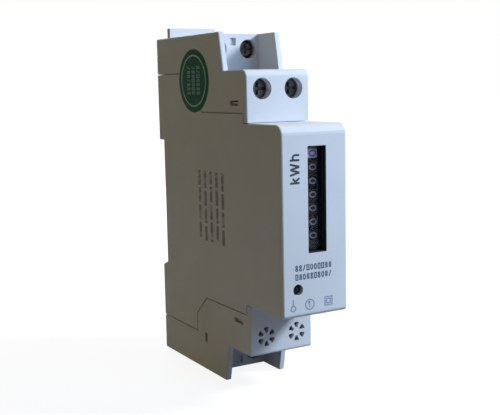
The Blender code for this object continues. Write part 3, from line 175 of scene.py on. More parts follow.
def build_effects() -> None:
    """Makes the shared node groups: moulded skin, drawn metal and settled dust."""
    number = "NodeSocketFloat"
    w, given, result = open_group(Effect.SKIN.value, {"Grain": (number, 1500.0), "Flow": (number, 70.0)},
                                  ("Tone", "Height", "Gloss"))
    place = w.place()
    flow = w.noise(place, given.outputs["Flow"], 3.0, 0.55)
    fine = w.noise(place, given.outputs["Grain"], 2.0, 0.6)
    pits = w.node("TexVoronoi", {"Vector": place, "Scale": w.math("MULTIPLY", given.outputs["Grain"], 1.7)})
    w.feed(result.inputs["Tone"], w.ramp(flow, 0.3, 0.7))
    height = w.math("ADD", fine, w.math("MULTIPLY", pits.outputs[0], 0.5))
    w.feed(result.inputs["Height"], height)
    w.feed(result.inputs["Gloss"], w.ramp(w.noise(place, 260.0, 4.0, 0.6), 0.35, 0.65))

    w, given, result = open_group(Effect.DRAWN.value, {"Stretch": ("NodeSocketVector", (1.0, 1.0, 1.0)),
                                                       "Stain": (number, 500.0)}, ("Lines", "Stain"))
    place = w.place()
    pulled = w.node("VectorMath", {0: place, 1: given.outputs["Stretch"]}, operation="MULTIPLY").outputs[0]
    w.feed(result.inputs["Lines"], w.noise(pulled, 900.0, 3.0, 0.65))
    w.feed(result.inputs["Stain"], w.ramp(w.noise(place, given.outputs["Stain"], 4.0, 0.6), 0.45, 0.72))

    w, given, result = open_group(Effect.DUST.value, {"Amount": (number, 0.3)}, ("Mask",))
    normal = w.node("NewGeometry").outputs["Normal"]
    upward = w.ramp(w.axes(normal)[2], 0.35, 0.95)
    cloud = w.ramp(w.noise(w.place(), 420.0, 5.0, 0.7), 0.4, 0.75)
    settled = w.math("MULTIPLY", upward, cloud)
    w.feed(result.inputs["Mask"], w.math("MULTIPLY", settled, given.outputs["Amount"]))


def effect(w: Wiring, kind: Effect, inputs: dict[str, Feed]) -> Node:
    """Places a shared node group in a material and sets its inputs."""
    made = w.node("Group")
    made.node_tree = bpy.data.node_groups[kind.value]
    for name, value in inputs.items():
        w.feed(made.inputs[name], value)
    return made


def blank(owner: Union[Material, bpy.types.World]) -> Wiring:
    """Empties the node tree of a material or world and returns its wiring."""
    owner.use_nodes = True
    owner.node_tree.nodes.clear()
    return Wiring(owner.node_tree)


def hang(name: str, data: bpy.types.ID) -> bpy.types.Object:
    """Makes an object of a mesh, lamp or camera and links it to the scene."""
    made = bpy.data.objects.new(name, data)
    bpy.context.scene.collection.objects.link(made)
    return made


def open_material(name: str) -> tuple[Material, Wiring, Node]:
    """Starts a material with an empty tree, one Principled shader and the output.

    Returns:
        The material, its wiring and the shader node.
    """
    material = bpy.data.materials.new(name)
    w = blank(material)
    shader = w.node("BsdfPrincipled")
    w.node("OutputMaterial", {"Surface": shader.outputs[0]})
    return material, w, shader


def relief(w: Wiring, shader: Node, height: Feed, depth: float) -> None:
    """Bumps a shader's normal by a height, depth in millimetres for a height of one."""
    bump = w.node("Bump", {"Height": height, "Strength": 1.0, "Distance": depth * MM})
    w.feed(shader.inputs["Normal"], bump.outputs[0])


# Finishes

@dataclass(frozen=True)
class Moulding:
    """Moulded plastic with flow marks, a fine grain and a little settled dust.

    low and high are its colours in the dullest and the clearest patches.
    """

    name: str
    low: Colour
    high: Colour
    rough: float = 0.45
    grain: float = 1500.0
    depth: float = 0.008
    dust: float = 0.0
    specular: float = 0.5
    translucent: float = 0.0

    def make(self) -> Material:
        """Builds the material."""
        material, w, shader = open_material(self.name)
        skin = effect(w, Effect.SKIN, {"Grain": self.grain})
        colour = w.mix(skin.outputs["Tone"], self.low, self.high)
        if self.dust:
            dust = effect(w, Effect.DUST, {"Amount": self.dust})
            colour = w.mix(dust.outputs["Mask"], colour, (0.50, 0.47, 0.42))
        w.feed(shader.inputs["Base Color"], colour)
        w.feed(shader.inputs["Roughness"], w.ramp(skin.outputs["Gloss"], 0.0, 1.0, self.rough - 0.05,
                                                  self.rough + 0.06))
        shader.inputs["Specular IOR Level"].default_value = self.specular
        if self.translucent:
            shader.inputs["Subsurface Weight"].default_value = self.translucent
            shader.inputs["Subsurface Radius"].default_value = (1.0, 0.9, 0.8)
            shader.inputs["Subsurface Scale"].default_value = 0.4 * MM
        relief(w, shader, skin.outputs["Height"], self.depth)
        return material


@dataclass(frozen=True)
class Metal:
    """Drawn, stamped or plated metal with fine lines along one axis and stains."""

    name: str
    clean: Colour
    stained: Colour
    rough: float = 0.3
    stretch: Colour = (1.0, 1.0, 0.03)
    depth: float = 0.004

    def make(self) -> Material:
        """Builds the material."""
        material, w, shader = open_material(self.name)
        drawn = effect(w, Effect.DRAWN, {"Stretch": self.stretch})
        lined = w.mix(w.ramp(drawn.outputs["Lines"], 0.35, 0.7, 0.0, 0.35), self.clean, self.stained)
        w.feed(shader.inputs["Base Color"], w.mix(drawn.outputs["Stain"], lined, self.stained))
        rough = w.ramp(drawn.outputs["Lines"], 0.3, 0.7, self.rough - 0.06, self.rough + 0.12)
        duller = w.math("MULTIPLY", drawn.outputs["Stain"], 0.12)
        w.feed(shader.inputs["Roughness"], w.math("ADD", rough, duller))
        shader.inputs["Metallic"].default_value = 1.0
        relief(w, shader, drawn.outputs["Lines"], self.depth)
        return material


@dataclass(frozen=True)
class Clear:
    """Clear or tinted polished resin with a faint haze."""

    name: str
    tint: Colour
    ior: float
    through: float
    specular: float = 0.5

    def make(self) -> Material:
        """Builds the material."""
        material, w, shader = open_material(self.name)
        haze = effect(w, Effect.SKIN, {"Grain": 700.0, "Flow": 300.0})
        w.feed(shader.inputs["Roughness"], w.ramp(haze.outputs["Gloss"], 0.0, 1.0, 0.015, 0.07))
        low = tuple(0.9 * part for part in self.tint)
        w.feed(shader.inputs["Base Color"], w.mix(haze.outputs["Tone"], low, self.tint))
        shader.inputs["Transmission Weight"].default_value = self.through
        shader.inputs["IOR"].default_value = self.ior
        shader.inputs["Specular IOR Level"].default_value = self.specular
        return material


@dataclass(frozen=True)
class Ink:
    """Pad-printed ink: slightly uneven cover and a dull surface."""

    name: str
    colour: Colour
    thin: Colour
    cover: float = 0.35
    specular: float = 0.3

    def make(self) -> Material:
        """Builds the material."""
        material, w, shader = open_material(self.name)
        shader.inputs["Specular IOR Level"].default_value = self.specular
        place = w.place()
        uneven = w.ramp(w.noise(place, 2600.0, 3.0, 0.7), self.cover, self.cover + 0.4)
        broad = w.noise(place, 300.0, 2.0)
        w.feed(shader.inputs["Base Color"], w.mix(w.math("MULTIPLY", uneven, broad), self.colour, self.thin))
        w.feed(shader.inputs["Roughness"], w.ramp(uneven, 0.0, 1.0, 0.42, 0.6))
        relief(w, shader, uneven, 0.003)
        return material


@dataclass(frozen=True)
class Foil:
    """A laminated paper sticker: fine screen of print under a soft gloss, paler at its cut edge."""

    name: str
    deep: Colour
    pale: Colour
    centre: Pair
    radii: Pair

    def make(self) -> Material:
        """Builds the material."""
        material, w, shader = open_material(self.name)
        place = w.place()
        _, y, z = w.axes(place)
        across = w.math("DIVIDE", w.math("SUBTRACT", y, self.centre[0] * MM), self.radii[0] * MM)
        upward = w.math("DIVIDE", w.math("SUBTRACT", z, self.centre[1] * MM), self.radii[1] * MM)
        radius = w.math("SQRT", w.math("ADD", w.math("MULTIPLY", across, across),
                                       w.math("MULTIPLY", upward, upward)))
        cloud = w.noise(place, 350.0, 4.0, 0.6)
        screen = w.noise(place, 5200.0, 1.0)
        tone = w.mix(w.ramp(w.math("ADD", cloud, w.math("MULTIPLY", screen, 0.35)), 0.5, 0.85),
                     self.deep, self.pale)
        rim = w.ramp(radius, 0.965, 0.995)
        w.feed(shader.inputs["Base Color"], w.mix(rim, tone, (0.05, 0.16, 0.10)))
        w.feed(shader.inputs["Roughness"], w.ramp(cloud, 0.3, 0.7, 0.44, 0.6))
        shader.inputs["Specular IOR Level"].default_value = 0.04
        relief(w, shader, cloud, 0.02)
        return material


@dataclass(frozen=True)
class Circuit:
    """Green solder mask over straight traces and a glass weave, seen on the board's YZ faces."""

    name: str

    def make(self) -> Material:
        """Builds the material."""
        material, w, shader = open_material(self.name)
        _, y, z = w.axes(w.place())
        flat = w.node("CombineXYZ", {0: y, 1: z}).outputs[0]
        brick = w.node("TexBrick", {"Vector": flat, "Scale": 260.0, "Mortar Size": 0.035,
                                    "Color1": (0.012, 0.10, 0.045, 1.0), "Color2": (0.010, 0.085, 0.040, 1.0),
                                    "Mortar": (0.03, 0.19, 0.08, 1.0)}, offset=0.37, squash=1.6)
        weave = w.node("TexChecker", {"Vector": flat, "Scale": 3200.0})
        cloud = w.noise(w.place(), 500.0, 3.0)
        colour = w.mix(w.ramp(cloud, 0.4, 0.8, 0.0, 0.4), brick.outputs["Color"], (0.02, 0.13, 0.07))
        w.feed(shader.inputs["Base Color"], colour)
        w.feed(shader.inputs["Roughness"], w.ramp(cloud, 0.3, 0.7, 0.25, 0.4))
        threads = w.math("MULTIPLY", weave.outputs["Fac"], 0.15)
        relief(w, shader, w.math("ADD", brick.outputs["Fac"], threads), 0.02)
        return material


@dataclass(frozen=True)
class Sleeve:
    """Shrink sleeve round an upright can: dark film, one pale stripe and a bare metal top."""

    name: str
    centre: Pair
    top: float

    def make(self) -> Material:
        """Builds the material."""
        material, w, shader = open_material(self.name)
        place = w.place()
        x, y, z = w.axes(place)
        from_y = w.math("SUBTRACT", y, self.centre[1])
        from_x = w.math("SUBTRACT", x, self.centre[0])
        angle = w.math("ARCTAN2", from_y, from_x)
        stripe = w.math("LESS_THAN", w.math("ABSOLUTE", w.math("SUBTRACT", angle, -1.9)), 0.35)
        cloud = w.noise(place, 600.0, 3.0)
        film = w.mix(cloud, (0.012, 0.014, 0.035), (0.03, 0.03, 0.055))
        striped = w.mix(stripe, film, (0.45, 0.46, 0.48))
        bare = w.math("GREATER_THAN", z, self.top - 0.15 * MM)
        w.feed(shader.inputs["Base Color"], w.mix(bare, striped, (0.62, 0.62, 0.64)))
        w.feed(shader.inputs["Metallic"], bare)
        w.feed(shader.inputs["Roughness"], w.ramp(cloud, 0.3, 0.7, 0.22, 0.36))
        relief(w, shader, cloud, 0.02)
        return material


# Surfaces

@dataclass(frozen=True)
class Sheet:
    """A plane that flat shapes are drawn on: origin, reading direction and upward direction."""

    origin: Triple
    along: Triple
    up: Triple

    def lift(self, flat: np.ndarray) -> np.ndarray:
        """Places points (along, up, out), in millimetres, on the plane.

        Args:
            flat: Array whose last axis holds the three distances.

        Returns:
            The same points in metres in the frame: origin + a * along + b * up + c * (along x up).
        """
        along, up = np.array(self.along, float), np.array(self.up, float)
        basis = np.stack([along, up, np.cross(along, up)])
        return np.array(self.origin, float) + flat @ basis * MM


class Mould:
    """Gathers grids of points into one closed mesh."""

    def __init__(self) -> None:
        """Starts with nothing."""
        self.points: list[np.ndarray] = []
        self.faces: list[np.ndarray] = []
        self.count = 0

    def add(self, grid: np.ndarray, wrap_rows: bool = False) -> None:
        """Adds a grid of quads whose last column joins its first.

        Args:
            grid: Points in metres, rows by columns by 3.
            wrap_rows: The last row joins the first too.
        """
        rows, columns = grid.shape[:2]
        row = np.arange(rows if wrap_rows else rows - 1)[:, None]
        column = np.arange(columns)[None, :]
        next_row, next_column = (row + 1) % rows, (column + 1) % columns
        corners = [row * columns + column, next_row * columns + column,
                   next_row * columns + next_column, row * columns + next_column]
        self.faces.append(np.stack(corners, axis=-1).reshape(-1, 4) + self.count)
        self.points.append(grid.reshape(-1, 3))
        self.count += rows * columns

    def mesh(self, name: str, material: Material) -> bpy.types.Mesh:
        """The gathered points and faces as a mesh with one material."""
        mesh = bpy.data.meshes.new(name)
        mesh.from_pydata(np.concatenate(self.points).tolist(), [], np.concatenate(self.faces).tolist())
        mesh.materials.append(material)
        return mesh

    def piece(self, name: str, material: Material, body: str, smooth: float = 35.0) -> bpy.types.Object:
        """Makes the object: doubles merged, faces outwards, edges sharper than smooth degrees kept.

        Args:
            name: The piece's name.
            material: Its finish.
            body: The CAD body it rides on.
            smooth: Largest angle, in degrees, that is shaded smooth.

        Returns:
            The finished object.
        """
        mesh = self.mesh(name, material)
        work = bmesh.new()
        work.from_mesh(mesh)
        bmesh.ops.remove_doubles(work, verts=work.verts, dist=0.0002 * MM)
        bmesh.ops.dissolve_degenerate(work, edges=work.edges, dist=0.0001 * MM)
        bmesh.ops.recalc_face_normals(work, faces=work.faces)
        work.to_mesh(mesh)
        work.free()
        mesh.polygons.foreach_set("use_smooth", np.ones(len(mesh.polygons), bool))
        mesh.set_sharp_from_angle(angle=math.radians(smooth))
        made = hang(name, mesh)
        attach(made, body)
        LOG.info("%s: %d faces on %s", name, len(mesh.polygons), body)
        return made


def line(start: Pair, end: Pair, steps: int = 6) -> Path:
    """A straight path: start + t * (end - start), t from 0 to 1."""
    t = np.linspace(0.0, 1.0, steps)[:, None]
    return np.array(start) + t * (np.array(end) - np.array(start))


def arc(centre: Pair, radii: Pair, first: float, last: float, steps: int = 14) -> Path:
    """An elliptic path: centre + (rx * cos a, ry * sin a), a from first to last in degrees."""
    a = np.radians(np.linspace(first, last, steps))
    return np.stack([centre[0] + radii[0] * np.cos(a), centre[1] + radii[1] * np.sin(a)], axis=1)


def oval(centre: Pair, radii: Pair, steps: int = 28) -> Path:
    """A whole ellipse as a path whose last point meets its first."""
    return arc(centre, radii, 0.0, 360.0, steps)


def box_path(low: Pair, high: Pair) -> Path:
    """The four sides of a rectangle as a path whose last point meets its first."""
    (x0, y0), (x1, y1) = low, high
    return np.array([(x0, y0), (x1, y0), (x1, y1), (x0, y1), (x0, y0)], float)


def ribbon(path: Path, width: float, thick: float) -> np.ndarray:
    """A flat ribbon along a path, closed at its ends.

    At each point of the path the section is a rectangle: the point plus or minus half the
    width along the mitre (m + n) / (1 + m . n), where m and n are the normals of the two
    stretches that meet there, at heights 0 and thick. The end rows shrink to the middle of
    the section, or meet when the path comes back to its start.

    Args:
        path: Points (along, up) in millimetres.
        width: The ribbon's width.
        thick: Its thickness.

    Returns:
        Points (along, up, out), rows by 4 by 3.
    """
    loop = np.allclose(path[0], path[-1])
    run = np.diff(path, axis=0)
    run = run / np.linalg.norm(run, axis=1, keepdims=True)
    normal = np.stack([-run[:, 1], run[:, 0]], axis=1)
    before = np.concatenate([normal[-1:] if loop else normal[:1], normal])
    after = np.concatenate([normal, normal[:1] if loop else normal[-1:]])
    mitre = (before + after) / (1.0 + np.sum(before * after, axis=1, keepdims=True))
    across = mitre * width / 2
    side = np.array([-1.0, -1.0, 1.0, 1.0])[None, :, None]
    flat = path[:, None, :] + across[:, None, :] * side
    height = np.broadcast_to(np.array([0.0, thick, thick, 0.0])[None, :, None], (len(path), 4, 1))
    section = np.concatenate([flat, height], axis=2)
    if loop:
        return section
    middle = section.mean(axis=1, keepdims=True) * np.ones((1, 4, 1))
    return np.concatenate([middle[:1], section, middle[-1:]])


def pad(centre: Pair, radii: Pair, thick: float, steps: int = 64) -> np.ndarray:
    """A low oval pad: rings s * (rx cos a, ry sin a), at height thick * (1 - s^16), closed below.

    Args:
        centre: Its middle (along, up).
        radii: Half-widths.
        thick: Height at the middle.
        steps: Points round the rim.

    Returns:
        Points, rings by steps by 3.
    """
    a = np.linspace(0.0, 2 * np.pi, steps, endpoint=False)
    rim = np.stack([radii[0] * np.cos(a), radii[1] * np.sin(a)], axis=1)
    size = np.array([0.0, 0.3, 0.6, 0.8, 0.9, 0.95, 0.98, 1.0, 1.0, 0.0])
    rise = thick * (1 - size ** 16)
    rise[-3], rise[-2:] = thick * 0.25, 0.0
    flat = np.array(centre) + size[:, None, None] * rim[None]
    return np.concatenate([flat, np.broadcast_to(rise[:, None, None], (len(size), steps, 1))], axis=2)


def turned(profile: Sequence[Pair], steps: int = 72) -> np.ndarray:
    """A surface of revolution: (r cos a, r sin a, h) for each (r, h) of the profile and each angle a."""
    r, h = np.array(profile, float).T
    a = np.linspace(0.0, 2 * np.pi, steps, endpoint=False)
    height = np.broadcast_to(h[:, None], (len(r), steps))
    return np.stack([r[:, None] * np.cos(a), r[:, None] * np.sin(a), height], axis=2)


# Strokes for signs and digits

class Strokes:
    """Signs drawn as paths in a cell one unit high."""

    SIGNS: dict[str, tuple[float, list[Path]]] = {
        "0": (0.62, [oval((0.31, 0.5), (0.24, 0.44))]),
        "1": (0.62, [line((0.36, 0.0), (0.36, 1.0)), line((0.38, 0.98), (0.14, 0.76))]),
        "2": (0.62, [arc((0.31, 0.70), (0.24, 0.24), 170, -35), line((0.52, 0.58), (0.07, 0.06)),
                     line((0.05, 0.06), (0.58, 0.06))]),
        "3": (0.62, [arc((0.30, 0.73), (0.22, 0.21), 150, -90), arc((0.30, 0.29), (0.25, 0.23), 90, -150)]),
        "4": (0.62, [line((0.44, 0.0), (0.44, 1.0)), line((0.44, 0.98), (0.05, 0.30)),
                     line((0.02, 0.28), (0.60, 0.28))]),
        "5": (0.62, [line((0.54, 0.94), (0.12, 0.94)), line((0.14, 0.96), (0.10, 0.48)),
                     arc((0.30, 0.33), (0.24, 0.27), 140, -145)]),
        "6": (0.62, [oval((0.31, 0.31), (0.23, 0.25)), arc((0.56, 0.34), (0.48, 0.60), 176, 105)]),
        "7": (0.62, [line((0.05, 0.94), (0.58, 0.94)), line((0.56, 0.96), (0.22, 0.0))]),
        "8": (0.62, [oval((0.31, 0.73), (0.20, 0.21)), oval((0.31, 0.28), (0.24, 0.24))]),
        "9": (0.62, [oval((0.31, 0.69), (0.23, 0.25)), arc((0.06, 0.66), (0.48, 0.60), -4, -75)]),
        "k": (0.60, [line((0.10, 0.0), (0.10, 1.0)), line((0.12, 0.30), (0.50, 0.72)),
                     line((0.24, 0.42), (0.54, 0.0))]),
        "W": (1.12, [line((0.04, 1.0), (0.28, 0.0)), line((0.28, 0.0), (0.53, 0.96)),
                     line((0.53, 0.96), (0.78, 0.0)), line((0.78, 0.0), (1.02, 1.0))]),
        "h": (0.66, [line((0.10, 0.0), (0.10, 1.0)), arc((0.32, 0.46), (0.22, 0.24), 180, 0),
                     line((0.54, 0.48), (0.54, 0.0))]),
    }

    @staticmethod
    def word(text: str, gap: float = 0.1) -> tuple[float, list[Path]]:
        """The paths of a word and its width, in cells one unit high."""
        reach, paths = 0.0, []
        for sign in text:
            width, parts = Strokes.SIGNS[sign]
            paths += [part + np.array([reach, 0.0]) for part in parts]
            reach += width + gap
        return reach - gap, paths

    @staticmethod
    def row(count: int, seed: int, gap: float = 0.2, spaced: bool = False) -> list[Path]:
        """A row of plain signs that stand where small print is: rings, bars, strokes and frames.

        Args:
            count: How many places the row has.
            seed: Picks the signs.
            gap: Space between two places.
            spaced: Every so often a place stays empty, as between words.

        Returns:
            The row's paths, one unit high.
        """
        kinds: list[list[Path]] = [
            [oval((0.26, 0.5), (0.21, 0.42), 16)],
            [line((0.14, 0.02), (0.14, 0.98)), line((0.40, 0.02), (0.40, 0.98))],
            [oval((0.26, 0.24), (0.19, 0.19), 14), oval((0.26, 0.76), (0.17, 0.17), 14)],
            [line((0.08, 0.0), (0.44, 1.0))],
            [box_path((0.07, 0.08), (0.45, 0.92))],
        ]
        pick = np.random.default_rng(seed).integers(0, len(kinds), count)
        if spaced:
            kinds.append([])
            pick[5 + seed % 3::7] = len(kinds) - 1
        pitch = 0.54 + gap
        return [part + np.array([at * pitch, 0.0]) for at, kind in enumerate(pick) for part in kinds[kind]]


def draw(mould: Mould, sheet: Sheet, paths: Sequence[Path], at: Pair, high: float,
         width: float, thick: float = 0.012, squeeze: float = 1.0) -> None:
    """Draws paths of unit height on a sheet.

    Args:
        mould: Where the ribbons go.
        sheet: The plane they lie on.
        paths: Paths in cells one unit high.
        at: Lower left corner (along, up) in millimetres.
        high: Height of the signs.
        width: Width of the strokes.
        thick: Thickness of the print.
        squeeze: Factor on the signs' length along the sheet.

    Each path is a little thicker than the one before, so that strokes that cross share no face.
    """
    for number, path in enumerate(paths):
        placed = np.array(at) + path * np.array([high * squeeze, high])
        grid = ribbon(placed, width, thick * (1.0 + 0.15 * (number % 4)))
        mould.add(sheet.lift(grid))


# Housing

@dataclass
class Housing:
    """The three housing shells, the rail clip and what is printed and stuck on them."""

    unit_low: float = 53.9
    unit_foot: float = 4.2
    unit_high: float = 2.55
    unit_stroke: float = 0.5
    row_left: float = -5.6
    row_lows: Pair = (33.6, 31.5)
    row_signs: int = 10
    row_high: float = 1.4
    row_stroke: float = 0.28
    mark_stroke: float = 0.3
    column_count: int = 5
    column_signs: int = 28
    column_top: float = 54.5
    column_depth: float = 24.5
    column_pitch: float = 3.2
    column_high: float = 1.4
    column_stroke: float = 0.27
    ink_lift: float = 0.004
    ink_thick: float = 0.012
    wall: float = 1.5
    half_width: float = 9.0
    height: float = 90.0
    channel: float = 5.4
    bead: float = 0.16
    bead_sink: float = 0.3
    bead_skin: float = 0.1
    seam_drops: Pair = (9.95, 14.86)
    seam_rise: float = 24.85
    seam_depths: Triple = (21.65, 27.54, 49.2)
    sticker_centre: Pair = (23.2, 78.0)
    sticker_radii: Pair = (8.75, 8.3)
    sticker_thick: float = 0.07
    border_share: float = 0.8
    border_stroke: float = 0.4
    sticker_signs: int = 7
    sticker_pitch: float = 2.8
    sticker_high: float = 1.9
    sticker_reach: float = 3.8

    def __post_init__(self) -> None:
        """Reads the faces that the print lies on from the frame."""
        low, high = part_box("main_case")
        self.front = low.y
        self.side = low.x
        self.back = high.y
        lift = self.ink_lift * MM
        self.upright = Sheet((0.0, self.front - lift, 0.0), (1, 0, 0), (0, 0, 1))
        self.climbing = Sheet((0.0, self.front - lift, 0.0), (0, 0, 1), (-1, 0, 0))
        self.flank = Sheet((self.side - lift, self.back, 0.0), (0, 0, -1), (0, -1, 0))

    def dress(self) -> None:
        """Gives the shells and the clip their moulded plastics."""
        shell = Moulding("shell_plastic", (0.575, 0.605, 0.655), (0.61, 0.645, 0.695), 0.46, 1400.0, 0.006,
                         dust=0.2, specular=0.12)
        clip = Moulding("clip_plastic", (0.30, 0.31, 0.33), (0.36, 0.37, 0.39), 0.38, 1100.0, 0.010, 0.15)
        assign(shell.make(), "main_case", "cover_top", "cover_bottom")
        assign(clip.make(), "rail_clip")

    def print_front(self) -> None:
        """Prints the unit, the rows of small signs and the faint marks on the front strip."""
        dark = Ink("front_ink", (0.018, 0.026, 0.048), (0.075, 0.09, 0.13)).make()
        small = Ink("small_ink", (0.062, 0.078, 0.130), (0.15, 0.17, 0.25)).make()
        faint = Ink("faint_ink", (0.22, 0.26, 0.38), (0.34, 0.38, 0.50), 0.3).make()
        unit = Mould()
        _, paths = Strokes.word("kWh", 0.14)
        draw(unit, self.climbing, paths, (self.unit_low, self.unit_foot), self.unit_high, self.unit_stroke,
             squeeze=1.03)
        unit.piece("print_unit", dark, "housing")
        rows = Mould()
        for seed, low in enumerate(self.row_lows, 1):
            paths = Strokes.row(self.row_signs, seed)
            draw(rows, self.upright, paths, (self.row_left, low), self.row_high, self.row_stroke)
        rows.piece("print_rows", small, "housing")
        marks = Mould()
        stem = [oval((-6.3, 24.9), (0.62, 0.62)), line((-6.3, 25.5), (-6.3, 27.1))]
        ringed = [oval((-1.7, 25.4), (1.2, 1.2)), line((-1.7, 24.6), (-1.7, 26.2)),
                  line((-1.7, 26.2), (-2.3, 25.7))]
        nested = [box_path((2.6, 24.6), (4.6, 26.6)), box_path((3.1, 25.1), (4.1, 26.1))]
        for path in stem + ringed + nested:
            grid = ribbon(path, self.mark_stroke, self.ink_thick)
            marks.add(self.upright.lift(grid))
        marks.piece("print_marks", faint, "housing")

    def print_side(self) -> None:
        """Prints the even columns of small signs on the left side."""
        ink = Ink("side_ink", (0.05, 0.045, 0.04), (0.16, 0.15, 0.135), 0.35, 0.15).make()
        columns = Mould()
        for number in range(self.column_count):
            paths = Strokes.row(self.column_signs, 40 + number, 0.16, True)
            low = self.column_depth + self.column_pitch * number
            draw(columns, self.flank, paths, (-self.column_top, low), self.column_high, self.column_stroke,
                 squeeze=0.68)
        columns.piece("print_side", ink, "housing")

    def stick(self) -> None:
        """Puts the round sticker on the left side with a border line and even columns of small signs."""
        depth, z = self.sticker_centre
        centre = (-z, depth)
        radii = (self.sticker_radii[1], self.sticker_radii[0])
        finish = Foil("sticker_foil", (0.002, 0.050, 0.027), (0.009, 0.082, 0.045),
                      ((self.back / MM) - depth, z), self.sticker_radii)
        disc = Mould()
        disc.add(self.flank.lift(pad(centre, radii, self.sticker_thick)))
        disc.piece("side_sticker", finish.make(), "housing", 60.0)
        pale = Ink("sticker_ink", (0.44, 0.58, 0.49), (0.22, 0.38, 0.29), 0.4, 0.15).make()
        dull = Ink("sticker_small_ink", (0.145, 0.235, 0.19), (0.06, 0.13, 0.095), 0.35, 0.15).make()
        border = Mould()
        signs = Mould()
        above = (self.sticker_thick + 0.001) * MM
        raised = Sheet((self.side - above, self.back, 0.0), (0, 0, -1), (0, -1, 0))
        rim = oval(centre, (self.border_share * radii[0], self.border_share * radii[1]), 64)
        border.add(raised.lift(ribbon(rim, self.border_stroke, 0.01)))
        for number in range(3):
            paths = Strokes.row(self.sticker_signs, 90 + number)
            low = depth + self.sticker_pitch * (number - 1) - self.sticker_high / 2
            draw(signs, raised, paths, (-z - self.sticker_reach, low), self.sticker_high, 0.32, 0.01, 0.78)
        border.piece("sticker_border", pale, "housing")
        signs.piece("sticker_signs", dull, "housing")

    def fill_seams(self) -> None:
        """Lays the covers' locating bead in each seam, just under the surface.

        Along each side wall the bead follows the seam's middle in (depth, z), and the bottom
        one is its mirror image about the housing's middle. Across the back it is straight.
        """
        top, middle = self.height, self.height / 2
        step, slope, shoulder = self.seam_depths
        first, second = self.seam_drops
        seam = [(self.bead_sink, top - first), (step, top - first), (step, top - second),
                (slope, middle + self.seam_rise), (shoulder, middle + self.seam_rise)]
        deep = self.wall - self.bead_sink - self.bead_skin
        reach = self.half_width - self.wall
        beads = Mould()
        for end in (1, -1):
            points = np.array([(depth, z if end > 0 else top - z) for depth, z in seam])
            path = np.concatenate([line(tuple(a), tuple(b), 8) for a, b in zip(points[:-1], points[1:])])
            keep = np.concatenate([[True], np.linalg.norm(np.diff(path, axis=0), axis=1) > 1e-6])
            for side in (-1, 1):
                sheet = Sheet((side * (reach + self.bead_skin) * MM, self.back, 0.0),
                              (0, -1, 0), (0, 0, -side))
                placed = path[keep] * np.array([1.0, -side])
                beads.add(sheet.lift(ribbon(placed, self.bead, deep)))
            level = points[0][1]
            rear = Sheet((0.0, self.back - (self.wall - self.bead_skin) * MM, 0.0), (-1, 0, 0), (0, 0, 1))
            for start, stop in self.back_spans(end, reach):
                grid = ribbon(line((start, level), (stop, level), 8), self.bead, deep)
                beads.add(rear.lift(grid))
        beads.piece("seam_beads", bpy.data.materials["shell_plastic"], "housing")

    def back_spans(self, end: int, reach: float) -> list[Pair]:
        """The stretches of the back wall's seam: whole at the top, beside the clip's channel below."""
        if end > 0:
            return [(-reach, reach)]
        return [(-reach, -self.channel), (self.channel, reach)]

    def build(self) -> None:
        """Dresses the shells and adds the seams' beads, the print and the sticker."""
        self.dress()
        self.fill_seams()
        self.print_front()
        self.print_side()
        self.stick()


# Counter

